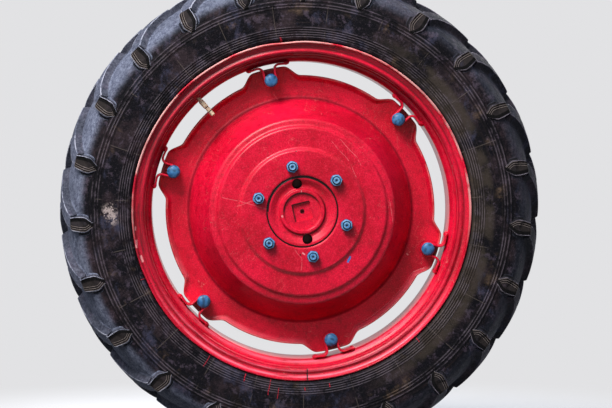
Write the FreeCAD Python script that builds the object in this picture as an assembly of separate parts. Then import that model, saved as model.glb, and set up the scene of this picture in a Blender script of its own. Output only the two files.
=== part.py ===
import FreeCAD, Part
import math
import os

# Tractor rear wheel on the outer end of its axle housing.
# Units are millimetres. The wheel turns about the Y axis and its outer side faces -Y.
# The origin is the middle of the inboard mounting face of the axle housing, and a station
# is a distance outboard from that face, so a station s lies at y = -s.

V = FreeCAD.Vector
AXLE = V(0, 1, 0)
ORIGIN = V(0, 0, 0)

# Six fold pattern shared by the hub nuts, the ears of the disc and the lugs of the rim
arms = 6
arm_phase = 43.0
top_turn = 90.0

# Stations
hub_station = 320.0
rim_offset = 130.0
dish_depth = 114.0

# Rim, rolled from one sheet with a drop centre
bead_seat_r = 355.6
bead_width = 177.8
flange_height = 25.4
lip_overhang = 13.0
rim_t = 4.5
seat_width = 26.0
well_drop = 15.0
well_slope = 11.0
lip_round = 6.0
heel_round = 7.0
well_round = 8.0

# Tyre with two rows of bars in a chevron
tyre_r = 545.0
tyre_width = 211.0
tread_depth = 17.0
tread_crown_drop = 30.0
tread_phase = -6.6
shoulder_inset = 9.0
casing_t = 13.0
bead_gap = 0.4
bars_per_side = 23
bar_top_width = 25.0
bar_flare = 5.0
bar_sweep = 117.0
bar_overlap = 9.0
bar_toe_drop = 30.0
bar_toe_rise = 18.0
bar_toe_width = 8.0
bar_root_depth = 4.0

# Disc, pressed from plate, with six ears
disc_t = 8.0
disc_bore_r = 80.5
stud_circle_r = 102.5
hub_face_margin = 35.5
hub_step = 7.0
plateau_width = 45.0
plateau_step = 8.0
shoulder_width = 9.0
rim_band = 52.0
bead_ridge = 3.0
ear_gap = 11.0
ear_depth = 22.0
ear_half_angle = 8.0
ear_flank = 15.0
ear_round = 12.0
ear_root_round = 18.0
lip_height = 9.0
lip_t = 7.0

# Lugs of strip steel, bent to a hoop and welded inside the rim
hoop_reach = 36.0
strip_t = 5.0
strip_width = 44.0
foot_half_span = 42.0
foot_bend = 9.0
weld_gap = 0.25

# Clamp bolts through the hoops and the ears
clamp_d = 18.0
hoop_play = 0.75
clamp_head_d = 30.0
clamp_head_h = 9.5
clamp_nut_h = 15.0
washer_d = 36.0
washer_t = 3.0
clamp_nut_af = 27.0
thread_gap = 0.1
hole_play = 0.75
thread_end = 5.0

# Studs and nuts of the hub
stud_d = 16.0
stud_head_d = 26.0
stud_head_h = 6.0
hub_nut_af = 24.0
hub_nut_h = 17.0
hub_nut_turn = 15.0

# Axle shaft forged with its flange
flange_margin = 22.5
flange_t = 18.0
pilot_gap = 0.4
pilot_recess = 1.0
pilot_groove = 2.8
pilot_seat = 2.0
bowl_depth = 9.0
bowl_r = 59.0
ring_outer_r = 49.0
ring_inner_r = 42.5
ring_recess = 2.0
cup_depth = 7.0
square_side = 41.0
square_depth = 8.0
square_turn = 13.0
centre_hole_d = 8.0
centre_hole_depth = 14.0
access_hole_d = 23.0
access_turn = 100.7
flange_back_r = 44.0
flange_back_rise = 12.0
journal_r = 30.0
shaft_r = 26.0
spline_r = 29.0
spline_root = 3.5
spline_teeth = 16
spline_length = 70.0
spline_reach = 35.0

# Axle housing, bearing and retainer
housing_flange_r = 130.0
housing_flange_t = 18.0
housing_bolt_edge = 18.0
housing_bolts = 8
housing_hole_d = 14.5
spigot_r = 75.0
spigot_length = 10.0
housing_wall = 14.0
housing_root_r = 68.0
housing_waist_r = 56.0
boss_margin = 12.0
bearing_boss_length = 68.0
bearing_r = 55.0
bearing_width = 22.0
running_gap = 0.3
seat_gap = 0.1
rib_t = 10.0
rib_count = 4
retainer_t = 8.0
retainer_station = 260.0
retainer_bolt_circle_r = 63.0
retainer_bolts = 6
retainer_bolt_d = 10.0
retainer_head_af = 16.0
retainer_head_h = 6.5
retainer_grip = 14.0
seal_width = 7.0
seal_wall = 8.0

# Valve of the inner tube
valve_turn = 132.5
valve_d = 9.0
valve_cap_d = 8.0
valve_length = 46.0
valve_lean = 14.0
valve_root = 8.0
valve_hole_half = 30.0

# Values worked out from the driving dimensions
arm_angles = [arm_phase + k * 360 / arms for k in range(arms)]
rim_station = hub_station - rim_offset
ear_station = hub_station - dish_depth
clamp_station = ear_station + strip_width
well_inner_r = bead_seat_r - rim_t - well_drop
clamp_circle_r = well_inner_r - hoop_reach
ear_end_r = well_inner_r - ear_gap
edge_r = ear_end_r - ear_depth
tread_edge_r = tyre_r - tread_depth - tread_crown_drop
bar_toe_r = tread_edge_r - bar_toe_drop
flange_r = stud_circle_r + flange_margin
flange_station = hub_station - disc_t
flange_back_station = flange_station - flange_t
shaft_end_station = -spline_reach
housing_bolt_circle_r = housing_flange_r - housing_bolt_edge
bearing_boss_r = retainer_bolt_circle_r + boss_margin


def on_axle_plane(radius, station):
    """A profile point for a turned piece: radius from the axle, station outboard."""
    return V(radius, -station, 0)


def on_wheel_plane(across, up):
    """An outline point in a plane square to the axle."""
    return V(across, 0, up)


def unit(a, b):
    """Direction from point a to point b, as a pair."""
    length = math.hypot(b[0] - a[0], b[1] - a[1])
    return ((b[0] - a[0]) / length, (b[1] - a[1]) / length)


def rounded_wire(points, radii, place):
    """Closed wire through the points, each corner rounded by an arc of its radius."""
    count = len(points)
    starts, ends, arcs = [], [], []
    for k in range(count):
        before, here, after = points[k - 1], points[k], points[(k + 1) % count]
        back, ahead = unit(here, before), unit(here, after)
        cosine = max(-1.0, min(1.0, back[0] * ahead[0] + back[1] * ahead[1]))
        half = math.acos(cosine) / 2
        if radii[k] <= 0 or half > math.radians(89.9):
            starts.append(here)
            ends.append(here)
            arcs.append(None)
            continue
        run = radii[k] / math.tan(half)
        bisector = (back[0] + ahead[0], back[1] + ahead[1])
        size = math.hypot(*bisector)
        depth = radii[k] / math.sin(half) - radii[k]
        middle = (here[0] + bisector[0] / size * depth, here[1] + bisector[1] / size * depth)
        starts.append((here[0] + back[0] * run, here[1] + back[1] * run))
        ends.append((here[0] + ahead[0] * run, here[1] + ahead[1] * run))
        arcs.append(middle)
    edges = []
    for k in range(count):
        if arcs[k]:
            edges.append(Part.Arc(place(*starts[k]), place(*arcs[k]), place(*ends[k])).toShape())
        nxt = starts[(k + 1) % count]
        if math.hypot(nxt[0] - ends[k][0], nxt[1] - ends[k][1]) > 1e-6:
            edges.append(Part.makeLine(place(*ends[k]), place(*nxt)))
    return Part.Wire(edges)


def offset_path(points, distance):
    """The open path moved sideways to its left by a distance, with mitred corners."""
    moved = []
    for k, here in enumerate(points):
        ways = []
        if k > 0:
            ways.append(unit(points[k - 1], here))
        if k < len(points) - 1:
            ways.append(unit(here, points[k + 1]))
        normals = [(-way[1], way[0]) for way in ways]
        if len(normals) == 1:
            side = normals[0]
        else:
            dot = normals[0][0] * normals[1][0] + normals[0][1] * normals[1][1]
            side = tuple((normals[0][i] + normals[1][i]) / (1 + dot) for i in (0, 1))
        moved.append((here[0] + side[0] * distance, here[1] + side[1] * distance))
    return moved


def sheet_wire(points, radii, thickness, place):
    """Outline of bent sheet: the path, its parallel to the left, and the two cut edges."""
    parallel = offset_path(points, thickness)
    parallel_radii = []
    for k, radius in enumerate(radii):
        if radius <= 0 or k in (0, len(points) - 1):
            parallel_radii.append(0)
            continue
        way_in, way_out = unit(points[k - 1], points[k]), unit(points[k], points[k + 1])
        left_turn = way_in[0] * way_out[1] - way_in[1] * way_out[0] > 0
        parallel_radii.append(max(radius - thickness if left_turn else radius + thickness, 0.5))
    return rounded_wire(points + parallel[::-1], radii + parallel_radii[::-1], place)


def turned(wire):
    """Solid of revolution about the axle."""
    solid = Part.Face(wire).revolve(ORIGIN, AXLE, 360)
    return solid if solid.Volume > 0 else solid.reversed()


def turned_profile(points, radii=None):
    """Turned solid from profile points given as radius and station."""
    return turned(rounded_wire(points, radii or [0] * len(points), on_axle_plane))


def rod(radius, low, high, at=(0, 0)):
    """Round bar along the axle between two stations, its middle at x, z."""
    return Part.makeCylinder(radius, high - low, V(at[0], -low, at[1]), V(0, -1, 0))


def prism(wire, low, high):
    """Outline drawn on the wheel plane, made solid between two stations."""
    solid = Part.Face(wire).extrude(V(0, -(high - low), 0))
    solid.translate(V(0, -low, 0))
    return solid if solid.Volume > 0 else solid.reversed()


def hexagon(across_flats, low, high, at=(0, 0), turn=0.0):
    """Hexagonal bar along the axle with both rims chamfered, its middle at x, z."""
    corner = across_flats / math.sqrt(3)
    points = []
    for k in range(6):
        angle = math.radians(turn + 60 * k)
        points.append((at[0] + corner * math.cos(angle), at[1] + corner * math.sin(angle)))
    bar = prism(rounded_wire(points, [0] * 6, on_wheel_plane), low, high)
    bevel = corner - across_flats / 2
    turned_bar = turned_profile([
        (0, low), (across_flats / 2, low), (corner, low + bevel * 0.6),
        (corner, high - bevel * 0.6), (across_flats / 2, high), (0, high)])
    turned_bar.translate(V(at[0], 0, at[1]))
    return bar.common(turned_bar)


def polar(radius, degrees):
    """Point x, z at a radius and an angle in the wheel plane, seen from the outer side."""
    return (radius * math.cos(math.radians(degrees)), radius * math.sin(math.radians(degrees)))


def spun(shape, degrees):
    """Copy of the shape turned about the axle, counter-clockwise from the outer side."""
    copy = shape.copy()
    copy.rotate(ORIGIN, V(0, -1, 0), degrees)
    return copy


def one_solid(shape):
    """The single solid of a boolean result, with split faces joined again."""
    clean = shape.removeSplitter()
    return clean.Solids[0] if len(clean.Solids) == 1 else clean


def make_rim():
    """Drop centre rim: lip, flange, bead seat and well, the same on both sides."""
    half = bead_width / 2
    lip_r = bead_seat_r + flange_height - rim_t
    seat_r = bead_seat_r - rim_t
    flange_in = half + rim_t
    side = [
        (lip_r, half + lip_overhang, 0),
        (lip_r, flange_in, lip_round),
        (seat_r, flange_in, heel_round),
        (seat_r, half - seat_width, well_round),
        (seat_r - well_drop, half - seat_width - well_slope, well_round + rim_t),
    ]
    outer = [(r, rim_station + across) for r, across, _ in side]
    inner = [(r, rim_station - across) for r, across, _ in side[::-1]]
    radii = [radius for _, _, radius in side]
    return turned(sheet_wire(outer + inner, radii + radii[::-1], rim_t, on_axle_plane))


def casing_side():
    """Outer profile of one tyre side from the bead toe to the tread edge: radius, half width."""
    base = bead_seat_r + bead_gap
    heel = bead_width / 2 - bead_gap
    over_lip = bead_seat_r + flange_height + bead_gap
    flare = (lip_round + rim_t + bead_gap) * (1 - math.tan(math.radians(22.5)))
    chamfer = heel_round - rim_t + 0.5
    bulge = tyre_width / 2
    height = tyre_r - bead_seat_r
    return [
        (base, heel - seat_width + 2),
        (base, heel - chamfer),
        (base + chamfer, heel),
        (over_lip - flare, heel),
        (over_lip, heel + flare),
        (over_lip, bulge - 4),
        (bead_seat_r + height * 0.52, bulge),
        (tread_edge_r, bulge - shoulder_inset - 1),
    ]


def crown_arc(top_r, edge_r_here, half_width):
    """Radius of the tread surface as a function of the distance from the middle plane."""
    drop = top_r - edge_r_here
    bend = (half_width ** 2 + drop ** 2) / (2 * drop)
    return lambda across: top_r - bend + math.sqrt(bend ** 2 - across ** 2)


def mirrored(half):
    """Profile points of both sides of the tyre, from points of radius and half width."""
    both = half + [(r, -across) for r, across in half[::-1]]
    return [(r, rim_station + across) for r, across in both]


def make_casing():
    """Hollow tyre body without its bars."""
    side = casing_side()
    edge_half = side[-1][1]
    floor = crown_arc(tyre_r - tread_depth, side[-1][0], edge_half)
    crown = [(floor(edge_half * share), edge_half * share) for share in (0.66, 0.24)]
    bulge = tyre_width / 2 - casing_t
    half_inner = [
        (bead_seat_r + casing_t, side[0][1]),
        (bead_seat_r + (tyre_r - bead_seat_r) * 0.5, bulge),
        (tyre_r - tread_depth - casing_t * 1.6, edge_half * 0.45),
    ]
    return turned_profile(mirrored(side + crown) + mirrored(half_inner)[::-1])


def bar_sections():
    """Sections along one tread bar, from the tip of its toe to its nose.

    Each is a row of four corners, foot and top on one side, top and foot on the other, and a
    corner is its place along the tread, its distance from the middle plane and its radius."""
    bulge = tyre_width / 2
    edge_half = bulge - shoulder_inset
    top = crown_arc(tyre_r, tyre_r - tread_crown_drop, edge_half)
    floor = crown_arc(tyre_r - tread_depth - bar_root_depth, tread_edge_r - bar_root_depth, edge_half)
    top_half, foot_half, toe_half = bar_top_width / 2, bar_top_width / 2 + bar_flare, bar_toe_width / 2
    line = [
        (bar_sweep * 0.05, edge_half + 3.5),
        (bar_sweep * 0.17, edge_half * 0.76),
        (bar_sweep * 0.52, edge_half * 0.35),
        (bar_sweep, -bar_overlap),
    ]
    lean = math.hypot(line[1][0] - line[0][0], line[1][1] - line[0][1]) / (line[0][1] - line[1][1])
    along = line[0][0]
    shoulder_r = bar_toe_r + bar_toe_rise
    sections = []
    for half, radius in ((toe_half, bar_toe_r), (foot_half, shoulder_r)):
        sections.append([
            (along - half * lean, bulge - casing_t, radius - bar_root_depth),
            (along - half * lean, bulge - 0.6, radius),
            (along + half * lean, bulge - 0.6, radius),
            (along + half * lean, bulge - casing_t, radius - bar_root_depth)])
    top_r = tyre_r - tread_crown_drop + 1
    foot_r = tread_edge_r - bar_root_depth
    sections.append([
        (along - foot_half * lean, edge_half - bar_root_depth, foot_r),
        (along - top_half * lean, line[0][1], top_r),
        (along + top_half * lean, line[0][1], top_r),
        (along + foot_half * lean, edge_half - bar_root_depth, foot_r)])
    edges = [offset_path(line, half) for half in (-foot_half, -top_half, top_half, foot_half)]
    for k in range(1, len(line)):
        surfaces = (floor, top, top, floor)
        sections.append([(*edge[k], surface(edge[k][1])) for edge, surface in zip(edges, surfaces)])
    return sections


def bar_block(side):
    """One tread bar as a block with flat faces; side is +1 for the outer row, -1 for the inner."""
    rings = []
    for section in bar_sections():
        ring = []
        for along, across, radius in section:
            x = along - bar_sweep / 2
            ring.append(V(x, -(rim_station + side * across), math.sqrt(radius ** 2 - x ** 2)))
        rings.append(ring)
    triangles = []
    for lower, upper in zip(rings, rings[1:]):
        for k in range(4):
            nxt = (k + 1) % 4
            triangles += [(lower[k], lower[nxt], upper[nxt]), (lower[k], upper[nxt], upper[k])]
    for ring in (rings[0], rings[-1]):
        triangles += [(ring[0], ring[1], ring[2]), (ring[0], ring[2], ring[3])]
    faces = [Part.Face(Part.makePolygon([*corners, corners[0]])) for corners in triangles]
    block = Part.Solid(Part.Shell(faces))
    return block if block.Volume > 0 else block.reversed()


def make_tyre():
    """Casing with both rows of bars, the inner row half a pitch behind the outer one."""
    pitch = 360.0 / bars_per_side
    blocks = []
    for side, start in ((1, tread_phase), (-1, tread_phase + pitch / 2)):
        block = bar_block(side)
        blocks += [spun(block, start + k * pitch) for k in range(bars_per_side)]
    return make_casing().multiFuse(blocks).Solids[0]


def make_disc():
    """Pressed disc: hub face, two steps, cone, ridge, flat band with ears and curled lip."""
    face_r = stud_circle_r + hub_face_margin
    plateau_r = face_r + hub_step + plateau_width
    cone_top_r = plateau_r + plateau_step + shoulder_width
    band_r = edge_r - rim_band
    plateau_station = hub_station - hub_step
    top_station = plateau_station - plateau_step
    front = [
        (disc_bore_r, hub_station, 0),
        (face_r - 2, hub_station, 6),
        (face_r + hub_step - 2, plateau_station, 6),
        (plateau_r - 3, plateau_station, 7),
        (plateau_r + plateau_step - 5, top_station + 0.5, 7),
        (cone_top_r, top_station - 1, 10),
        (band_r, ear_station + 1, 16),
        (band_r + 15, ear_station + bead_ridge, 12),
        (band_r + 23, ear_station, 12),
        (edge_r - 12, ear_station, 0),
    ]
    path = [(r, station) for r, station, _ in front]
    radii = [radius for _, _, radius in front]
    dish = turned(sheet_wire(path, radii, -disc_t, on_axle_plane))

    # Flat band whose outline has the ears, with every corner of an ear rounded
    outline_disc = rod(edge_r, ear_station - disc_t, ear_station)
    ear_half = ear_end_r * math.sin(math.radians(ear_half_angle))
    foot_half = ear_half + 2 * ear_flank
    foot_r = ear_end_r - 2 * ear_depth
    wedge = [(-foot_half, foot_r), (-ear_half, ear_end_r), (-ear_half, ear_end_r + ear_depth),
             (ear_half, ear_end_r + ear_depth), (ear_half, ear_end_r), (foot_half, foot_r)]
    ear = prism(rounded_wire(wedge, [0] * 6, on_wheel_plane), ear_station - disc_t, ear_station)
    ear = ear.common(rod(ear_end_r, ear_station - disc_t, ear_station))
    band = outline_disc.fuse([spun(ear, angle - top_turn) for angle in arm_angles])
    band = band.removeSplitter()
    upright = [edge for edge in band.Edges if abs(edge.BoundBox.YLength - disc_t) < 1e-6
               and edge.BoundBox.XLength < 1e-6]
    half_way = (edge_r + ear_end_r) / 2
    for radius, outer in ((ear_root_round, False), (ear_round, True)):
        corners = [edge for edge in upright
                   if (math.hypot(edge.Vertexes[0].X, edge.Vertexes[0].Z) > half_way) == outer]
        band = band.makeFillet(radius, corners)
        upright = [edge for edge in band.Edges if abs(edge.BoundBox.YLength - disc_t) < 1e-6
                   and edge.BoundBox.XLength < 1e-6]
    front_face = [face for face in band.Faces
                  if face.BoundBox.YLength < 1e-6 and abs(face.BoundBox.YMax + ear_station) < 1e-6][0]
    outline = front_face.OuterWire
    band = band.cut(rod(edge_r - 20, ear_station - 2 * disc_t, ear_station + disc_t))

    # Lip curled towards the outer side, following the outline and fading out along the ears
    inset = outline.makeOffset2D(-lip_t)
    lip = Part.Face(outline).cut(Part.Face(inset)).extrude(V(0, -lip_height, 0))
    fade_r = ear_end_r - lip_t - 1
    fade = turned_profile([
        (edge_r - 60, ear_station - 1), (fade_r, ear_station - 1),
        (fade_r, ear_station), (edge_r + 2, ear_station + lip_height * 0.9),
        (edge_r - 2, ear_station + lip_height), (edge_r - 60, ear_station + lip_height)])
    lip = lip.common(fade)
    disc = dish.fuse([band] + lip.Solids)
    holes = []
    for angle in arm_angles:
        holes.append(rod(stud_d / 2 + hole_play, hub_station - 3 * disc_t, hub_station + disc_t,
                         polar(stud_circle_r, angle)))
        holes.append(rod(clamp_d / 2 + hole_play, ear_station - 2 * disc_t,
                         ear_station + 2 * disc_t, polar(clamp_circle_r, angle)))
    return one_solid(disc.cut(holes))


def make_rim_lug():
    """Hoop of strip steel at the top of the wheel, its feet trimmed to the rim's well."""
    inner_half = clamp_d / 2 + hoop_play
    mid_half = inner_half + strip_t
    foot_r = well_inner_r - weld_gap
    bottom = clamp_circle_r - inner_half - strip_t
    path = [
        (-foot_half_span, foot_r - strip_t - 3), (-mid_half, foot_r - strip_t),
        (-mid_half, bottom), (mid_half, bottom),
        (mid_half, foot_r - strip_t), (foot_half_span, foot_r - strip_t - 3)]
    corner = mid_half - 0.01
    radii = [0, foot_bend, corner, corner, foot_bend, 0]
    strip = prism(sheet_wire(path, radii, strip_t, on_wheel_plane), ear_station, clamp_station)
    pad_half = mid_half + foot_bend
    pads = []
    for side in (-1, 1):
        pad = [(side * pad_half, foot_r - strip_t + 0.5), (side * foot_half_span, foot_r - strip_t - 2.5),
               (side * (foot_half_span + 5), foot_r + 2), (side * (pad_half - 3), foot_r + 2)]
        pads.append(prism(rounded_wire(pad, [0] * 4, on_wheel_plane), ear_station, clamp_station))
    lug = strip.fuse(pads).common(rod(foot_r, ear_station - 1, clamp_station + 1))
    return one_solid(lug)


def make_clamp_bolt():
    """Round head bolt at the top of the wheel, its head on the front edge of the hoop."""
    head_r = clamp_head_d / 2
    end = ear_station - disc_t - washer_t - clamp_nut_h - thread_end
    profile = [
        (0, end), (clamp_d / 2 - 1.5, end), (clamp_d / 2, end + 1.5), (clamp_d / 2, clamp_station),
        (head_r, clamp_station), (head_r, clamp_station + 1.5),
        (head_r * 0.62, clamp_station + clamp_head_h), (0, clamp_station + clamp_head_h)]
    bolt = turned_profile(profile, [0, 0, 0, 0, 0, 0, head_r * 0.55, 0])
    bolt.translate(V(0, 0, clamp_circle_r))
    return bolt


def make_clamp_nut():
    """Nut on its washer behind the ear, at the top of the wheel."""
    back = ear_station - disc_t
    at = (0, clamp_circle_r)
    nut = hexagon(clamp_nut_af, back - washer_t - clamp_nut_h, back - washer_t, at)
    nut = nut.fuse(rod(washer_d / 2, back - washer_t, back, at))
    bore = rod(clamp_d / 2 + thread_gap, back - 2 * clamp_nut_h, back + 1, at)
    return one_solid(nut.cut(bore))


def make_hub_stud():
    """Stud at the top of the wheel, its round head behind the axle flange."""
    end = hub_station + hub_nut_h + thread_end
    head_top = flange_back_station
    profile = [
        (0, head_top - stud_head_h), (stud_head_d / 2, head_top - stud_head_h),
        (stud_head_d / 2, head_top), (stud_d / 2, head_top),
        (stud_d / 2, end - 1.5), (stud_d / 2 - 1.5, end), (0, end)]
    stud = turned_profile(profile)
    stud.translate(V(0, 0, stud_circle_r))
    return stud


def make_hub_nut():
    """Hub nut on the disc at the top of the wheel, with a round washer face."""
    at = (0, stud_circle_r)
    nut = hexagon(hub_nut_af, hub_station + 2, hub_station + hub_nut_h, at, hub_nut_turn)
    nut = nut.fuse(rod(hub_nut_af / 2 + 1, hub_station, hub_station + 2, at))
    bore = rod(stud_d / 2 + thread_gap, hub_station - 1, hub_station + hub_nut_h + 1, at)
    return one_solid(nut.cut(bore))


def make_axle_shaft():
    """Axle shaft forged in one with its flange, pilot and splined inner end."""
    pilot_r = disc_bore_r - pilot_gap
    face_r = pilot_r - pilot_groove
    pilot_top = hub_station - pilot_recess
    bowl = pilot_top - bowl_depth
    ring_top = pilot_top - ring_recess
    cup = ring_top - cup_depth
    seal_r = journal_r + 4
    seal_end = flange_back_station - flange_back_rise
    bearing_in = retainer_station - bearing_width - 4
    stud_seat_r = stud_circle_r - stud_head_d / 2 - 4
    profile = [
        (0, shaft_end_station, 0), (spline_r - 2, shaft_end_station, 0),
        (spline_r, shaft_end_station + 2, 0), (spline_r, shaft_end_station + spline_length, 0),
        (shaft_r, shaft_end_station + spline_length + 8, 0), (shaft_r, bearing_in - 20, 0),
        (journal_r, bearing_in - 14, 0), (journal_r, retainer_station + 1, 0),
        (seal_r, retainer_station + 1, 0), (seal_r, seal_end, 0),
        (flange_back_r, seal_end, 0), (stud_seat_r, flange_back_station, 10),
        (flange_r, flange_back_station, 3), (flange_r, flange_station, 2),
        (pilot_r, flange_station, 0), (pilot_r, flange_station + pilot_seat, 0),
        (face_r, flange_station + pilot_seat, 0), (face_r, pilot_top, 1.5),
        (face_r - 6, pilot_top - 0.5, 5), (bowl_r, bowl, 8), (ring_outer_r + 3, bowl + 1, 3),
        (ring_outer_r, ring_top, 2), (ring_inner_r, ring_top, 1.5),
        (ring_inner_r - 0.8, cup, 1), (0, cup, 0)]
    shaft = turned_profile([(r, s) for r, s, _ in profile], [radius for _, _, radius in profile])
    half = square_side / 2
    corners = [(-half, -half), (half, -half), (half, half), (-half, half)]
    pocket = prism(rounded_wire(corners, [3] * 4, on_wheel_plane), cup - square_depth, cup + 1)
    cuts = [spun(pocket, square_turn)]
    floor = cup - square_depth
    cuts.append(rod(centre_hole_d / 2, floor - centre_hole_depth, floor + 1))
    access_r = retainer_bolt_circle_r
    for turn in (access_turn, access_turn + 180):
        cuts.append(rod(access_hole_d / 2, flange_back_station - 30, hub_station + 5,
                        polar(access_r, turn)))
    for angle in arm_angles:
        cuts.append(rod(stud_d / 2 + seat_gap, flange_back_station - 5, hub_station,
                        polar(stud_circle_r, angle)))
    groove_half = math.pi * spline_r / spline_teeth / 2
    for k in range(spline_teeth):
        tooth_gap = Part.makeBox(2 * groove_half, spline_length + 1, 2 * spline_root,
                                 V(-groove_half, -(shaft_end_station + spline_length),
                                   spline_r - spline_root))
        cuts.append(spun(tooth_gap, k * 360 / spline_teeth))
    return one_solid(shaft.cut(cuts))


def make_housing():
    """Cast axle housing end: mounting flange, tapered tube with ribs and bearing boss."""
    boss_in = retainer_station - bearing_boss_length
    bearing_in = retainer_station - bearing_width
    bore_in = housing_waist_r - housing_wall
    profile = [
        (spigot_r - 12, -spigot_length, 0), (spigot_r, -spigot_length, 1), (spigot_r, 0, 0),
        (housing_flange_r, 0, 2), (housing_flange_r, housing_flange_t, 3),
        (housing_root_r + 14, housing_flange_t, 10), (housing_root_r, housing_flange_t + 22, 30),
        (housing_waist_r, boss_in - 30, 20), (bearing_boss_r, boss_in, 8),
        (bearing_boss_r, retainer_station, 2), (bearing_r, retainer_station, 0),
        (bearing_r, bearing_in, 0), (bore_in, bearing_in, 0), (bore_in, boss_in - 30, 8),
        (spigot_r - 12, housing_flange_t, 12)]
    housing = turned_profile([(r, s) for r, s, _ in profile], [radius for _, _, radius in profile])
    rib_foot = housing_bolt_circle_r - housing_hole_d
    rib_points = [
        (housing_waist_r - 4, housing_flange_t - 1), (rib_foot, housing_flange_t - 1),
        (rib_foot - 2, housing_flange_t + 4), (housing_waist_r + 1, boss_in - 34),
        (housing_waist_r - 4, boss_in - 34)]
    rib = Part.Face(rounded_wire(rib_points, [0, 0, 3, 0, 0], on_axle_plane))
    rib = rib.extrude(V(0, 0, rib_t))
    rib.translate(V(0, 0, -rib_t / 2))
    ribs = [spun(rib, k * 360 / rib_count) for k in range(rib_count)]
    housing = housing.fuse(ribs)
    holes = []
    for k in range(housing_bolts):
        angle = (k + 0.5) * 360 / housing_bolts
        holes.append(rod(housing_hole_d / 2, -1, housing_flange_t + 1,
                         polar(housing_bolt_circle_r, angle)))
    for k in range(retainer_bolts):
        angle = access_turn + k * 360 / retainer_bolts
        holes.append(rod(retainer_bolt_d / 2 + thread_gap, retainer_station - retainer_grip - 2,
                         retainer_station + 1, polar(retainer_bolt_circle_r, angle)))
    return one_solid(housing.cut(holes))


def make_bearing():
    """Outer bearing as one ring between the shaft journal and the housing."""
    low, high = retainer_station - bearing_width + seat_gap, retainer_station
    inner, outer = journal_r + running_gap, bearing_r - seat_gap
    shield = (inner + outer) / 2
    return turned_profile([
        (inner, low), (shield - 7, low), (shield - 6, low + 1.5), (shield + 6, low + 1.5),
        (shield + 7, low), (outer, low), (outer, high), (inner, high)])


def make_retainer():
    """Bolted cover plate of the bearing, bored for the oil seal."""
    top = retainer_station + retainer_t
    bore = journal_r + 4 + running_gap + seal_wall
    plate = turned_profile([
        (bore, retainer_station), (bearing_boss_r, retainer_station), (bearing_boss_r, top),
        (bore, top)], [0, 0, 2, 0])
    holes = []
    for k in range(retainer_bolts):
        angle = access_turn + k * 360 / retainer_bolts
        holes.append(rod(retainer_bolt_d / 2 + thread_gap, retainer_station - 1, top + 1,
                         polar(retainer_bolt_circle_r, angle)))
    return one_solid(plate.cut(holes))


def make_seal():
    """Oil seal ring pressed into the retainer around the shaft."""
    inner = journal_r + 4 + running_gap
    outer = inner + seal_wall - seat_gap
    low = retainer_station + retainer_t - seal_width
    top = retainer_station + retainer_t
    return turned_profile([(inner, low), (outer, low), (outer, top), (inner + 5, top),
                           (inner + 4, top - 1.5), (inner, top - 1.5)])


def make_retainer_bolt():
    """Bearing retainer bolt at the top of the housing."""
    at = (0, retainer_bolt_circle_r)
    top = retainer_station + retainer_t
    head = hexagon(retainer_head_af, top, top + retainer_head_h, at)
    shank = rod(retainer_bolt_d / 2, retainer_station - retainer_grip, top, at)
    return one_solid(head.fuse(shank))


def make_valve():
    """Valve stem of the inner tube, leaning outboard from the well of the rim."""
    cap_start = valve_length - 13
    profile = [
        (0, -valve_root), (valve_d / 2, -valve_root), (valve_d / 2, cap_start - 12),
        (valve_d / 2 - 1, cap_start - 12), (valve_d / 2 - 1, cap_start - 9),
        (valve_d / 2, cap_start - 9), (valve_d / 2, cap_start - 2),
        (valve_d / 2 - 1.2, cap_start - 2), (valve_d / 2 - 1.2, cap_start),
        (valve_cap_d / 2, cap_start), (valve_cap_d / 2, valve_length - 2),
        (valve_cap_d / 2 - 2, valve_length), (0, valve_length)]
    stem = turned_profile(profile)
    stem.rotate(ORIGIN, V(1, 0, 0), 90 - valve_lean)
    return stem


def valve_bore():
    """Bar that cuts the hole of the valve stem, on the same line as the stem."""
    bore = rod(valve_d / 2 + seat_gap, -valve_hole_half, valve_hole_half)
    bore.rotate(ORIGIN, V(1, 0, 0), 90 - valve_lean)
    return bore


def main():
    os.makedirs("parts", exist_ok=True)
    rim_well_side = rim_station + bead_width / 2 - seat_width - well_slope
    valve_foot = V(0, -(rim_well_side + valve_d / 2), well_inner_r - 1)
    valve, bore = make_valve(), valve_bore()
    for shape in (valve, bore):
        shape.translate(valve_foot)
    pieces = {
        "axle_housing": make_housing(),
        "axle_bearing": make_bearing(),
        "bearing_retainer": make_retainer(),
        "oil_seal": make_seal(),
        "axle_shaft": make_axle_shaft(),
        "wheel_disc": make_disc(),
        "tyre": make_tyre(),
        "wheel_rim": one_solid(make_rim().cut(spun(bore, valve_turn - top_turn))),
        "valve_stem": spun(valve, valve_turn - top_turn),
    }
    at_top = {
        "rim_lug": make_rim_lug(),
        "clamp_bolt": make_clamp_bolt(),
        "clamp_nut": make_clamp_nut(),
        "hub_stud": make_hub_stud(),
        "hub_nut": make_hub_nut(),
    }
    for name, shape in at_top.items():
        for k, angle in enumerate(arm_angles):
            pieces[f"{name}_{k + 1}"] = spun(shape, angle - top_turn)
    bolt = make_retainer_bolt()
    for k in range(retainer_bolts):
        turn = access_turn + k * 360 / retainer_bolts
        pieces[f"retainer_bolt_{k + 1}"] = spun(bolt, turn - top_turn)
    for name, shape in pieces.items():
        shape.exportStep(f"parts/{name}.step")
        if not name[-1].isdigit() or name.endswith("_1"):
            facets = len(shape.tessellate(0.3)[1])
            print(name, "valid", shape.isValid(), "solids", len(shape.Solids),
                  "litres", round(shape.Volume / 1e6, 3), "triangles", facets)


main()
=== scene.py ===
# %% [markdown]
# # A tractor rear wheel on its axle end
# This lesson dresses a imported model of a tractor's rear wheel, so that a render shows worn red
# paint, blue nuts and an old narrow tyre. The model gives every size and place in one frame,
# in metres: the wheel turns about the Y axis and its outer side faces -Y.

# %% Load the fixed frame
import math

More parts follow.
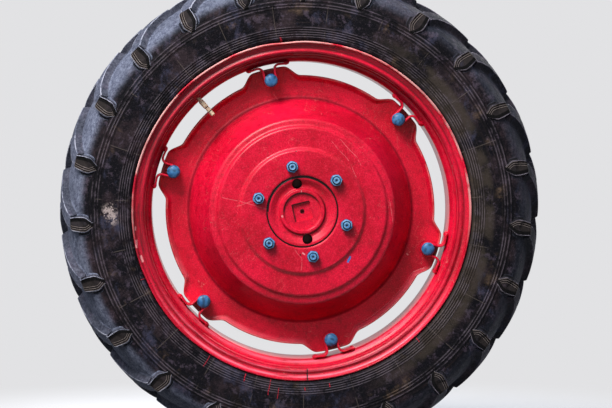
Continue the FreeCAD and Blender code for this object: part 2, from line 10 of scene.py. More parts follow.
import bpy
import numpy as np
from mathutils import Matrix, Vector


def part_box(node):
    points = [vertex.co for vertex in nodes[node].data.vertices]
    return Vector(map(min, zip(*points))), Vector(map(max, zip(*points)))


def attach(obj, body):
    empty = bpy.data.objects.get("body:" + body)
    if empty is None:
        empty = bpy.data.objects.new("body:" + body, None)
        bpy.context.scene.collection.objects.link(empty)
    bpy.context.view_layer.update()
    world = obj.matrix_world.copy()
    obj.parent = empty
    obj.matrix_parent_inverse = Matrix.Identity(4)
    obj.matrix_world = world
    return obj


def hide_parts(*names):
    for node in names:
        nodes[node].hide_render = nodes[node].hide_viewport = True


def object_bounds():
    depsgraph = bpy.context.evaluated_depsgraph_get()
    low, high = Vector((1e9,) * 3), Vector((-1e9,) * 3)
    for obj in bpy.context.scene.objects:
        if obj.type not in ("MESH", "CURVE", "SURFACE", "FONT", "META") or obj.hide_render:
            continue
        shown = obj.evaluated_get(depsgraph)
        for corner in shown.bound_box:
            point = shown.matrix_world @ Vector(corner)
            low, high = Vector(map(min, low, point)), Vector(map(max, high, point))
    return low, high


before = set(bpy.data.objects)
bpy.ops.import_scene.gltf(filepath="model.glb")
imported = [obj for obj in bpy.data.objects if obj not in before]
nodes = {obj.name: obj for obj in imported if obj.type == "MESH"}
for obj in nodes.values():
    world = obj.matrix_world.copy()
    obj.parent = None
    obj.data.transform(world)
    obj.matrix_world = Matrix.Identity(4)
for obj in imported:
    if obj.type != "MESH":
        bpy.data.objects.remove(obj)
cad_low, cad_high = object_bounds()
print("nodes", len(nodes), "box", tuple(cad_low), tuple(cad_high))

# %% [markdown]
# Sizes that the frame can tell are read from the boxes of its nodes, so the pieces below fit
# them with no fitting by hand. A station is a distance outboard along the axle, at y = -station.

# %% Sizes read from the frame
tyre_low, tyre_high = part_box("tyre")
rim_low, rim_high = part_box("wheel_rim")
disc_low, disc_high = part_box("wheel_disc")
bolt_low, bolt_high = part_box("clamp_bolt_1")
nut_low, nut_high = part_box("hub_nut_1")
stud_low, stud_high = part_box("hub_stud_1")
TYRE_R = tyre_high.z
MID_STATION = -(tyre_low.y + tyre_high.y) / 2
HALF_WIDTH = (tyre_high.y - tyre_low.y) / 2
LIP_R = rim_high.z
LIP_STATION = -rim_low.y
HUB_STATION = -disc_low.y
DISC_T = 0.008
EAR_STATION = -disc_high.y + DISC_T
bolt_middle = (bolt_low + bolt_high) / 2
nut_middle = (nut_low + nut_high) / 2
CLAMP_R = math.hypot(bolt_middle.x, bolt_middle.z)
STUD_R = math.hypot(nut_middle.x, nut_middle.z)
ARMS = 6
ARM_ANGLE = math.atan2(bolt_middle.z, bolt_middle.x)
arm_angles = ARM_ANGLE + np.arange(ARMS) * math.tau / ARMS
print("tyre radius", round(TYRE_R, 4), "lip radius", round(LIP_R, 4), "stud circle", round(STUD_R, 4))

# %% [markdown]
# ## The camera
# The photograph was taken from nearly straight in front of the axle, a little up and to the
# left, with a long lens. A long lens flattens the wheel, so the distance matters as much as the
# direction: the camera stands about six metres out, and its target is worked out from the pixel
# on which the middle of the rim's lip falls.

# %% Camera
IMAGE_WIDTH, IMAGE_HEIGHT = 612, 408
FOCAL_PIXELS = 2642.0
SENSOR = 36.0
CAMERA_OFFSET = Vector((-0.262, -5.9, 0.241))
LIP_CENTRE_PIXEL = (301.95, 211.2)

lip_centre = Vector((0, -LIP_STATION, 0))
camera_data = bpy.data.cameras.new("camera")
camera = bpy.data.objects.new("camera", camera_data)
bpy.context.scene.collection.objects.link(camera)
bpy.context.scene.camera = camera
camera_data.sensor_width = SENSOR
camera_data.lens = FOCAL_PIXELS / IMAGE_WIDTH * SENSOR
camera.location = lip_centre + CAMERA_OFFSET
metres_per_pixel = CAMERA_OFFSET.length / FOCAL_PIXELS
to_middle = Vector(((IMAGE_WIDTH / 2 - LIP_CENTRE_PIXEL[0]) * metres_per_pixel, 0,
                    (LIP_CENTRE_PIXEL[1] - IMAGE_HEIGHT / 2) * metres_per_pixel))
sight = lip_centre + to_middle - camera.location
camera.rotation_euler = sight.to_track_quat("-Z", "Y").to_euler()
bpy.context.scene.view_settings.view_transform = "Standard"
print("lens", round(camera_data.lens, 1), "mm, distance", round(sight.length, 2), "m")

# %% [markdown]
# ## Shader maths as Python
# A painted surface is mostly arithmetic on noise. Wiring that by hand takes a page of links for
# each finish, so one small class wraps a socket and turns +, -, * and / into Math nodes. A second
# class makes any other node from its type, its settings and its inputs.

# %% Socket and finish classes
class Value:
    """A number that varies over a surface: wraps an output socket and adds Math nodes."""

    def __init__(self, finish, socket):
        self.finish = finish
        self.socket = socket

    def math(self, operation, *others, clamp=False):
        inputs = {k: value for k, value in enumerate((self,) + others)}
        settings = {"operation": operation, "use_clamp": clamp}
        return self.finish.node("ShaderNodeMath", settings, inputs)

    def __add__(self, other):
        return self.math("ADD", other)

    def __radd__(self, other):
        return self.math("ADD", other)

    def __sub__(self, other):
        return self.math("SUBTRACT", other)

    def __rsub__(self, other):
        return self.finish.node("ShaderNodeMath", {"operation": "SUBTRACT"}, {0: other, 1: self})

    def __mul__(self, other):
        return self.math("MULTIPLY", other)

    def __rmul__(self, other):
        return self.math("MULTIPLY", other)

    def __truediv__(self, other):
        return self.math("DIVIDE", other)

    def __pow__(self, other):
        return self.math("POWER", other)

    def clip(self):
        return self.math("ADD", 0.0, clamp=True)

    def least(self, other):
        return self.math("MINIMUM", other)

    def most(self, other):
        return self.math("MAXIMUM", other)

    def size(self):
        return self.math("ABSOLUTE")

    def ramp(self, low, high):
        """0 below low, 1 above high, smooth between; high may be the smaller one."""
        settings = {"interpolation_type": "SMOOTHSTEP"}
        if low < high:
            return self.finish.node("ShaderNodeMapRange", settings, {0: self, 1: low, 2: high})
        return 1.0 - self.finish.node("ShaderNodeMapRange", settings, {0: self, 1: high, 2: low})

    def bell(self, middle, width):
        """1 at the middle, falling smoothly to 0 at a width to either side."""
        return (self - middle).size().ramp(width, 0.0)


class Finish:
    """One material, with a short way to add nodes to it."""

    def __init__(self, name):
        self.material = bpy.data.materials.new(name)
        self.material.use_nodes = True
        self.tree = self.material.node_tree
        self.shader = self.tree.nodes["Principled BSDF"]
        self.split = None
        self.place = self.node("ShaderNodeTexCoord", {}, {}, "Object")

    def node(self, kind, settings, inputs, output=0):
        """Adds a node: settings are its properties, inputs its values or links by name or place."""
        made = self.tree.nodes.new(kind)
        for key, value in settings.items():
            setattr(made, key, value)
        for key, value in inputs.items():
            if isinstance(value, Value):
                self.tree.links.new(value.socket, made.inputs[key])
            else:
                made.inputs[key].default_value = value
        return Value(self, made.outputs[output])

    def noise(self, scale, detail=3.0, roughness=0.55, at=None, stretch=None):
        """Soft noise around 0.5, on the object's own coordinates or on a given vector."""
        where = at or self.place
        if stretch:
            where = self.node("ShaderNodeVectorMath", {"operation": "MULTIPLY"}, {0: where, 1: stretch})
        inputs = {"Vector": where, "Scale": scale, "Detail": detail, "Roughness": roughness}
        return self.node("ShaderNodeTexNoise", {}, inputs)

    def cells(self, scale, feature="F1", at=None):
        """Distance to the nearest of many random points, for chips and pits."""
        inputs = {"Vector": at or self.place, "Scale": scale}
        return self.node("ShaderNodeTexVoronoi", {"feature": feature}, inputs)

    def axes(self):
        """The object's x, y and z as three values."""
        if not self.split:
            self.split = self.node("ShaderNodeSeparateXYZ", {}, {0: self.place})
        outputs = self.split.socket.node.outputs
        return [Value(self, outputs[k]) for k in range(3)]

    def stroke(self, points, half, wander=None):
        """1 on a line through points x, z of the wheel plane and 0 beside it; wander bends it."""
        x, _, z = self.axes()
        drawn = None
        for (x1, z1), (x2, z2) in zip(points, points[1:]):
            length = math.hypot(x2 - x1, z2 - z1)
            way_x, way_z = (x2 - x1) / length, (z2 - z1) / length
            run = (x - x1) * way_x + (z - z1) * way_z
            off = (z - z1) * way_x - (x - x1) * way_z
            off = off + wander if wander else off
            beyond = (run - length / 2).size() - length / 2
            line = off.size().ramp(half, half * 0.4) * beyond.ramp(half, 0.0)
            drawn = drawn.most(line) if drawn else line
        return drawn

    def polar(self):
        """Radius from the axle, angle in turns seen from the outer side, and station."""
        x, y, z = self.axes()
        radius = (x * x + z * z) ** 0.5
        angle = z.math("ARCTAN2", x) * (1 / math.tau)
        return radius, angle, y * -1.0

    def attribute(self, name):
        """A number stored on the points of the mesh."""
        return self.node("ShaderNodeAttribute", {"attribute_name": name}, {}, "Fac")

    def vector(self, x, y, z):
        """A vector put together from three values."""
        return self.node("ShaderNodeCombineXYZ", {}, {0: x, 1: y, 2: z})

    def blend(self, share, first, second):
        """Colour first where share is 0, second where it is 1."""
        settings = {"data_type": "RGBA"}
        inputs = {0: share, 6: first, 7: second}
        return self.node("ShaderNodeMix", settings, inputs, 2)

    def bump(self, height, strength, distance, below=None):
        """Turns a height into a tilted normal."""
        inputs = {"Height": height, "Strength": strength, "Distance": distance}
        if below:
            inputs["Normal"] = below
        return self.node("ShaderNodeBump", {}, inputs)

    def set(self, **inputs):
        """Sets or links sockets of the shader; an underscore in a name stands for a space."""
        for key, value in inputs.items():
            socket = self.shader.inputs[key.replace("_", " ")]
            if isinstance(value, Value):
                self.tree.links.new(value.socket, socket)
            else:
                socket.default_value = value
        return self


def rgb(red, green, blue):
    """A colour from 0 to 255 as on a screen, turned into the linear colour of a shader."""
    levels = np.array((red, green, blue)) / 255
    linear = np.where(levels <= 0.04045, levels / 12.92, ((levels + 0.055) / 1.055) ** 2.4)
    return (*linear.tolist(), 1.0)


print("shader helpers ready")

# %% [markdown]
# ## Surfaces from arrays
# Nearly every piece of a wheel is a profile carried round the axle, or a section carried along a
# line. Both are grids of points with two parameters, so numpy can work out a whole piece at once.
# These helpers sample a profile, give it thickness and turn a grid into a closed mesh.

# %% Profiles
def smooth(share):
    """The smoothstep curve 3t^2 - 2t^3 on 0 to 1, flat outside."""
    t = np.clip(share, 0, 1)
    return t * t * (3 - 2 * t)


def hump(distance, width):
    """A bell exp(-(d / w)^2), for ribs, dents and rounded ridges."""
    return np.exp(-np.square(distance / width))


def rounded_path(corners, step=0.0004):
    """Points along a polyline with rounded corners, from rows of a, b and corner radius.

    Each corner is replaced by the arc of its radius that touches both legs: the arc starts
    radius / tan(half the angle) before the corner, and its points turn evenly about its middle."""
    rows = np.array(corners, float)
    points, radii = rows[:, :2], rows[:, 2]
    pieces = [points[:1]]
    for before, here, after, radius in zip(points[:-2], points[1:-1], points[2:], radii[1:-1]):
        back = (before - here) / np.linalg.norm(before - here)
        ahead = (after - here) / np.linalg.norm(after - here)
        half = math.acos(np.clip(back @ ahead, -1, 1)) / 2
        if radius <= 0 or half > math.pi / 2 - 1e-3:
            pieces.append(here[None])
            continue
        middle = here + (back + ahead) / np.linalg.norm(back + ahead) * radius / math.sin(half)
        start = here + back * radius / math.tan(half) - middle
        sweep = math.pi - 2 * half
        sign = 1 if back[0] * ahead[1] - back[1] * ahead[0] < 0 else -1
        turn = np.linspace(0, sweep * sign, max(4, int(sweep * radius / step)))
        arc = np.stack([start[0] * np.cos(turn) - start[1] * np.sin(turn),
                        start[0] * np.sin(turn) + start[1] * np.cos(turn)], axis=1)
        pieces.append(arc + middle)
    pieces.append(points[-1:])
    return along(np.concatenate(pieces), step=step)


def lengths(path):
    """Distance along a path at each of its points; columns after the first two are only carried."""
    return np.concatenate([[0], np.cumsum(np.linalg.norm(np.diff(path[:, :2], axis=0), axis=1))])


def along(path, count=None, step=None, weight=None):
    """The path resampled: evenly, or closer together where the weight is greater."""
    travelled = lengths(path)
    measure = travelled
    if weight is not None:
        dense = (weight[1:] + weight[:-1]) / 2 * np.diff(travelled)
        measure = np.concatenate([[0], np.cumsum(dense)])
    count = count or max(2, int(measure[-1] / step) + 1)
    wanted = np.linspace(0, measure[-1], count)
    return np.stack([np.interp(wanted, measure, path[:, k]) for k in range(path.shape[1])], axis=1)


def sideways(path):
    """Unit normals to the left of a plane path."""
    way = np.gradient(path, axis=0)
    way /= np.linalg.norm(way, axis=1, keepdims=True)
    return np.stack([-way[:, 1], way[:, 0]], axis=1)


print("profile helpers ready")

# %% Grids of points to meshes
def round_axle(profile, angles):
    """Grid of a profile of radius and station carried round the axle.

    A point is (r cos a, -s, r sin a); the profile may also be a grid with one column per angle."""
    radius, station = profile[..., 0], profile[..., 1]
    if radius.ndim == 1:
        radius, station = radius[:, None], station[:, None]
    turned = np.broadcast_to(angles, (radius.shape[0], len(angles)))
    return np.stack([radius * np.cos(turned), -station + 0 * turned, radius * np.sin(turned)], axis=-1)


def spin(points, angle):
    """Points turned about the axle by an angle, counter-clockwise from the outer side."""
    x, y, z = points[..., 0], points[..., 1], points[..., 2]
    cosine, sine = np.cos(angle), np.sin(angle)
    return np.stack([x * cosine - z * sine, y + 0 * x, x * sine + z * cosine], axis=-1)


def quads(shape, wrap_rows, wrap_columns, first=0):
    """Corner numbers of the quads of a grid; a wrapped side joins its last line to its first."""
    index = np.arange(shape[0] * shape[1]).reshape(shape) + first
    if wrap_rows:
        index = np.concatenate([index, index[:1]])
    if wrap_columns:
        index = np.concatenate([index, index[:, :1]], axis=1)
    corners = [index[:-1, :-1], index[1:, :-1], index[1:, 1:], index[:-1, 1:]]
    return np.stack(corners, axis=-1).reshape(-1, 4)


def volume(points, faces):
    """Signed volume of a closed mesh of quads: positive when its faces point outwards."""
    a, b, c, d = (points[faces[:, k]] for k in range(4))
    both = np.cross(b, c) + np.cross(c, d)
    return np.einsum("ij,ij->", a, both) / 6


def piece(name, grids, wrap_rows=True, wrap_columns=True, flat=False, marks=None):
    """Closed mesh object from one or more grids; open ends are capped by one face each.

    Marks are numbers for each point, one row of them per name, kept as mesh attributes."""
    grids = grids if isinstance(grids, list) else [grids]
    points, faces, caps, first = [], [], [], 0
    for grid in grids:
        part = quads(grid.shape[:2], wrap_rows, wrap_columns, first)
        flat_points = grid.reshape(-1, 3)
        inverted = volume(flat_points, part - first) < 0
        ends = []
        if not wrap_rows:
            columns = grid.shape[1]
            start = np.arange(columns) + first
            ends = [start, (start + (grid.shape[0] - 1) * columns)[::-1]]
        if inverted:
            part = part[:, ::-1]
            ends = [end[::-1] for end in ends]
        points.append(flat_points)
        faces.append(part)
        caps += ends
        first += len(flat_points)
    points = np.concatenate(points)
    faces = np.concatenate(faces)
    corners = np.concatenate([faces.ravel()] + caps)
    totals = np.concatenate([np.full(len(faces), 4), [len(cap) for cap in caps]]).astype(np.int32)
    starts = np.concatenate([[0], np.cumsum(totals)[:-1]]).astype(np.int32)
    mesh = bpy.data.meshes.new(name)
    mesh.vertices.add(len(points))
    mesh.vertices.foreach_set("co", points.astype(np.float32).ravel())
    mesh.loops.add(len(corners))
    mesh.loops.foreach_set("vertex_index", corners.astype(np.int32))
    mesh.polygons.add(len(totals))
    mesh.polygons.foreach_set("loop_start", starts)
    mesh.polygons.foreach_set("loop_total", totals)
    mesh.polygons.foreach_set("use_smooth", np.full(len(totals), not flat))
    mesh.update(calc_edges=True)
    for key, values in (marks or {}).items():
        mesh.attributes.new(key, "FLOAT", "POINT").data.foreach_set("value", values.astype(np.float32).ravel())
    made = bpy.data.objects.new(name, mesh)
    bpy.context.scene.collection.objects.link(made)
    return made


def dress(made, finish, slot, body, *replaced):
    """Gives a piece its finish, lets it ride on a body and stand for CAD nodes; the slot is not used."""
    made.data.materials.append(finish.material)
    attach(made, body)
    if replaced:
        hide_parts(*replaced)
    print(made.name, "triangles", len(made.data.loops) - 2 * len(made.data.polygons))
    return made


def waves(points, length, seed, count=7):
    """Soft unevenness between -1 and 1: the mean of sines along random directions."""
    draw = np.random.default_rng(seed)
    directions = draw.normal(size=(3, count))
    directions *= math.tau / length * draw.uniform(0.6, 1.5, count) / np.linalg.norm(directions, axis=0)
    return np.sin(points @ directions + draw.uniform(0, math.tau, count)).mean(axis=-1)


print("mesh helpers ready")

# %% [markdown]
# ## Red paint
# The wheel was sprayed in glossy red over older coats and has since been rained on, driven
# through fields and wiped. So the finish has a base that shifts a little, dust that lies in the
# pressed steps, thin wiping scratches that run round the axle, chips on the edges that catch
# stones, and a soft orange peel under the gloss.

# %% Red paint
SCRATCHES = [
    # points x, z of each scratch on the wheel plane
    [(-0.179, 0.032), (-0.133, 0.0215), (-0.079, 0.006)],
    [(-0.150, 0.010), (-0.112, 0.024), (-0.090, 0.027)],
    [(0.085, 0.161), (0.1225, 0.121), (0.131, 0.1036)],
    [(0.065, 0.157), (0.105, 0.1125), (0.120, 0.077)],
    [(-0.017, -0.085), (-0.002, -0.105), (-0.003, -0.131)],
    [(0.196, 0.020), (0.203, -0.024)],
    [(-0.052, 0.250), (-0.060, 0.262)],
    [(0.090, -0.225), (0.104, -0.214)],
]
PALE_CHIPS = [
    # start x, z and end x, z, half width
    (-0.0453, -0.0095, -0.0450, -0.0118, 0.0024), (-0.0027, 0.0425, -0.0025, 0.0475, 0.0012),
    (0.0005, -0.0925, 0.0045, -0.0950, 0.0022), (0.2430, -0.1010, 0.2450, -0.1030, 0.0020),
    (0.1640, 0.2860, 0.1720, 0.2810, 0.0026), (-0.3700, -0.0650, -0.3690, -0.0800, 0.0030),
    (-0.3600, -0.1000, -0.3560, -0.1120, 0.0034), (-0.3720, -0.0350, -0.3725, -0.0420, 0.0022),
]
DARK_MARKS = [
    (0.0123, -0.3560, 0.0125, -0.3790, 0.0022), (-0.0151, 0.1347, -0.0140, 0.1352, 0.0016),
    (-0.0050, -0.0950, -0.0040, -0.0975, 0.0016), (0.0700, 0.3640, 0.0760, 0.3700, 0.0014),
]
BLUE_FLECK = [(0.1015, -0.1125), (0.1070, -0.1015)]
SQUARE_SHADE = [(-0.0146, -0.0228), (-0.0232, 0.0140), (0.0142, 0.0228)]


def marked(paint, rows, wander):
    """All the strokes of a table of start, end and half width, as one value."""
    drawn = None
    for x1, z1, x2, z2, half in rows:
        line = paint.stroke([(x1, z1), (x2, z2)], half, wander)
        drawn = drawn.most(line) if drawn else line
    return drawn


def red_paint():
    paint = Finish("worn_red_paint")
    radius, angle, station = paint.polar()
    patches = paint.noise(9.0, 4.0)
    mottling = paint.noise(60.0, 3.0)
    grain = paint.noise(330.0, 4.0, 0.8)
    fresh, deep = rgb(216, 7, 50), rgb(180, 1, 32)
    colour = paint.blend(patches.ramp(0.35, 0.68), fresh, deep)
    colour = paint.blend(mottling.ramp(0.45, 0.75) * 0.30, colour, rgb(226, 30, 62))
    colour = paint.blend(mottling.ramp(0.47, 0.32) * 0.34, colour, rgb(132, 2, 22))
    colour = paint.blend(grain.ramp(0.51, 0.65) * 0.55, colour, rgb(112, 22, 32))
    colour = paint.blend(grain.ramp(0.47, 0.35) * 0.46, colour, rgb(244, 66, 92))

    # Wiping marks: noise that is long round the axle and very narrow across it
    swirl = paint.vector(angle * 5.0, radius * 420.0, station * 60.0)
    hairs = paint.noise(1.0, 5.0, 0.7, at=swirl).ramp(0.66, 0.76)
    slant = paint.vector(angle * 26.0 + radius * 38.0, radius * 34.0 - angle * 60.0, station * 8.0)
    long_scratch = paint.noise(1.3, 1.0, 0.4, at=slant)
    scratches = (long_scratch - 0.5).size().ramp(0.0045, 0.001) * paint.noise(13.0, 2.0).ramp(0.53, 0.6)

    # Dust stays in the pressed steps and on the flat band
    steps = radius.bell(0.141, 0.010).most(radius.bell(0.196, 0.012)).most(radius.bell(0.262, 0.016))
    dust = (steps * 0.55 + 0.25) * paint.noise(38.0, 6.0, 0.72).ramp(0.42, 0.85)
    colour = paint.blend(hairs * 0.28, colour, rgb(226, 88, 92))
    colour = paint.blend(scratches * 0.65, colour, rgb(222, 128, 120))
    colour = paint.blend(dust * 0.30, colour, rgb(128, 46, 50))

    # Painted shade: black in the groove between disc and axle, widest at its upper left, and dark red in the valley
    # where the cone meets the flat band
    upper_left = (angle - 0.36).size().ramp(0.34, 0.16)
    lower_right = (angle + 0.14).size().ramp(0.34, 0.16)
    groove = radius.bell(0.0789, 0.0024).most(radius.bell(0.0774, 0.0036) * upper_left)
    groove = groove * station.ramp(HUB_STATION - 0.012, HUB_STATION - 0.009)
    colour = paint.blend(groove.ramp(0.15, 0.5), colour, rgb(12, 6, 7))
    # Painted shade in the valley between the cone and the band
    valley = radius.bell(0.2535, 0.0060) * station.ramp(EAR_STATION - 0.004, EAR_STATION)
    colour = paint.blend(valley * 0.6, colour, rgb(70, 2, 16))

    # Painted shadow in the corners of the axle's raised end: beside the ring, in the square and its hole
    on_hub = station.ramp(HUB_STATION - 0.030, HUB_STATION - 0.024)
    corner = (radius.bell(0.0410, 0.0030) * upper_left).most(radius.bell(0.0520, 0.0034) * lower_right)
    corner = corner.most(paint.stroke(SQUARE_SHADE, 0.0022)) * 0.85
    corner = corner.most(radius.ramp(0.0056, 0.0046)) * on_hub
    colour = paint.blend(corner, colour, rgb(28, 3, 8))

    # Chips down to old brown primer, most of them on the rim
    near_rim = radius.ramp(0.33, 0.36) * 0.09 + 0.045
    spots = paint.cells(95.0)
    chips = (near_rim - spots).ramp(0.0, 0.012) * paint.noise(17.0, 2.0).ramp(0.5, 0.58)
    colour = paint.blend(chips, colour, rgb(92, 44, 36))

    # The rim is darkened along its rolled groove and along a ring a little further in
    rim_groove = radius.bell(0.3655, 0.0030) * paint.noise(30.0, 5.0, 0.7).ramp(0.30, 0.55)
    rim_groove = rim_groove.most(radius.bell(0.3535, 0.0022) * 0.6)
    colour = paint.blend(rim_groove * 0.68, colour, rgb(62, 6, 14))

    # The rim is darker at its left lip, partly soot and partly painted shade; it has painted shade over its upper
    # half, a painted highlight on its upper edge and a painted pink reflection of the sky at the bottom
    x, _, z = paint.axes()
    on_rim = radius.ramp(0.336, 0.341)
    drawn = paint.vector(angle * 34.0, radius * 330.0, station * 30.0)
    drawn = paint.noise(1.0, 5.0, 0.7, at=drawn)
    # Soot and painted shade on the left lip
    soot_and_shade = x.ramp(-0.12, -0.30) * radius.ramp(0.350, 0.356) * z.ramp(-0.24, -0.10)
    colour = paint.blend(soot_and_shade * drawn.ramp(0.30, 0.60) * 0.62, colour, rgb(56, 14, 20))
    # Painted shade over the upper half of the rim's inner face
    upper_rim_shade = on_rim * z.ramp(0.08, 0.30) * (1.0 - radius.bell(0.3600, 0.0050)) * radius.ramp(0.3745, 0.3715)
    colour = paint.blend(upper_rim_shade * 0.45, colour, rgb(40, 2, 10))
    colour = paint.blend(on_rim * drawn.ramp(0.54, 0.66) * 0.45, colour, rgb(84, 8, 20))
    # Painted highlight: a cream line along the upper edge of the lip
    lip_highlight = radius.ramp(0.3755, 0.3765) * z.ramp(-0.10, 0.06) * paint.noise(14.0, 3.0).ramp(0.40, 0.56)
    colour = paint.blend(lip_highlight * 0.7, colour, rgb(226, 176, 170))
    # Painted reflection of the sky: pink bands on the rim's lower slopes
    sky_sheen = radius.bell(0.3725, 0.0042).most(radius.bell(0.3600, 0.0034)).most(radius.bell(0.3420, 0.0050) * 0.8)
    sky_sheen = sky_sheen * z.ramp(-0.14, -0.30) * drawn.ramp(0.66, 0.44)
    colour = paint.blend(sky_sheen * 0.72, colour, rgb(246, 126, 146))

    # Edges that hands and stones reach are worn to a dull pink, and the lower part of the disc's curled edge has a
    # painted pink highlight
    worn = paint.attribute("worn") * paint.noise(26.0, 5.0, 0.7).ramp(0.36, 0.58)
    colour = paint.blend(worn * 0.6, colour, rgb(214, 132, 128))
    curl = paint.attribute("curl") * z.ramp(0.02, -0.16) * patches.ramp(0.25, 0.55)
    colour = paint.blend(curl * 0.42, colour, rgb(244, 116, 130))

    # Marks that show in the picture: scratches, pale and dark chips and a fleck of blue
    outer_side = station.ramp(EAR_STATION - 0.02, EAR_STATION - 0.005)
    wander = (paint.noise(30.0, 3.0) - 0.5) * 0.006
    cut = None
    for points in SCRATCHES:
        line = paint.stroke(points, 0.0011, wander)
        cut = cut.most(line) if cut else line
    cut = cut * outer_side * paint.noise(120.0, 3.0).ramp(0.34, 0.5)
    rough_edge = (paint.noise(240.0, 2.0) - 0.5) * 0.003
    pale = marked(paint, PALE_CHIPS, rough_edge) * outer_side
    black = marked(paint, DARK_MARKS, rough_edge) * outer_side
    fleck = paint.stroke(BLUE_FLECK, 0.0030, rough_edge) * outer_side
    colour = paint.blend(cut * 0.34, colour, rgb(232, 130, 134))
    colour = paint.blend(pale * 0.8, colour, rgb(236, 158, 158))
    colour = paint.blend(black * 0.95, colour, rgb(24, 12, 12))
    colour = paint.blend(fleck, colour, rgb(40, 116, 190))
    rough = dust * 0.35 + hairs * 0.12 + chips * 0.3 + mottling * 0.12 + 0.24
    rough = rough + radius.bell(0.066, 0.014) * on_hub * 0.35 + soot_and_shade * 0.3 + valley * 0.5
    peel = paint.noise(230.0, 2.0) * 0.4 + paint.noise(45.0, 2.0) * 0.6
    surface = peel - scratches * 0.8 - chips * 1.4 - cut * 0.8 - black * 2.5
    paint.set(Base_Color=colour, Roughness=rough, Normal=paint.bump(surface, 0.22, 0.0012))
    paint.set(Specular_IOR_Level=0.16, Coat_Weight=0.2 - valley * 0.2, Coat_Roughness=0.32)
    return paint


red = red_paint()
print("red paint nodes", len(red.tree.nodes))

# %% [markdown]
# ## Blue paint, rubber, steel and the rest
# The nuts and bolt heads are brush painted in blue. The tyre is old rubber: grey with weather,
# tan where soil has dried on it, with drips of red paint near the rim. Bare steel, brass, seal
# rubber and the cast housing are plainer, but each gets its own unevenness.

# %% Blue paint
def blue_paint(name, fresh, worn):
    paint = Finish(name)
    tone = paint.noise(70.0, 4.0)
    colour = paint.blend(tone.ramp(0.3, 0.7), fresh, worn)
    grime = paint.noise(160.0, 5.0, 0.7).ramp(0.56, 0.72)
    colour = paint.blend(grime * 0.5, colour, rgb(60, 58, 62))
    # Paler edges: partly worn paint and partly a painted highlight
    worn_and_glinting_edge = paint.attribute("worn") * paint.noise(130.0, 3.0).ramp(0.35, 0.55)
    colour = paint.blend(worn_and_glinting_edge * 0.7, colour, rgb(150, 190, 214))
    # The grime mark brings blotches on the bolt heads and painted shade round the nuts and studs
    colour = paint.blend(paint.attribute("grime") * 0.92, colour, rgb(9, 18, 32))
    chips = (0.09 - paint.cells(190.0)).ramp(0.0, 0.02) * paint.noise(50.0).ramp(0.5, 0.6)
    colour = paint.blend(chips, colour, rgb(74, 50, 44))
    surface = paint.noise(300.0, 3.0) - chips
    paint.set(Base_Color=colour, Roughness=grime * 0.25 + tone * 0.15 + 0.3)
    return paint.set(Normal=paint.bump(surface, 0.3, 0.0008), Specular_IOR_Level=0.3)


blue = blue_paint("brushed_blue_paint", rgb(40, 98, 152), rgb(74, 132, 178))
print("blue paint nodes", len(blue.tree.nodes))

# %% Rubber
DRIPS = [
    # angle in degrees, start and end radius, half width, all in metres but the angle
    (237.5, 0.384, 0.412, 0.0011), (251.0, 0.386, 0.402, 0.0016), (259.5, 0.384, 0.419, 0.0011),
    (262.5, 0.400, 0.424, 0.0010), (271.0, 0.396, 0.402, 0.0018), (279.0, 0.392, 0.399, 0.0014),
    (203.0, 0.383, 0.391, 0.0012), (97.0, 0.383, 0.389, 0.0030), (312.0, 0.384, 0.396, 0.0012),
]
MOULD_LINES = 23
TOE_RIB_PITCH = 0.0046
SMUDGE = [(-0.432, 0.006), (-0.421, -0.018)]


def paint_drips(rubber, station):
    """Thin wandering lines of red that start at the rim and run a little way outwards."""
    wander = (rubber.noise(90.0, 1.0) - 0.5) * 0.004
    drips = None
    for degrees, start, end, half in DRIPS:
        turn = math.radians(degrees)
        ends = [(r * math.cos(turn), r * math.sin(turn)) for r in (start, end)]
        line = rubber.stroke(ends, half, wander)
        drips = drips.most(line) if drips else line
    return drips * station.ramp(MID_STATION, MID_STATION + 0.05)


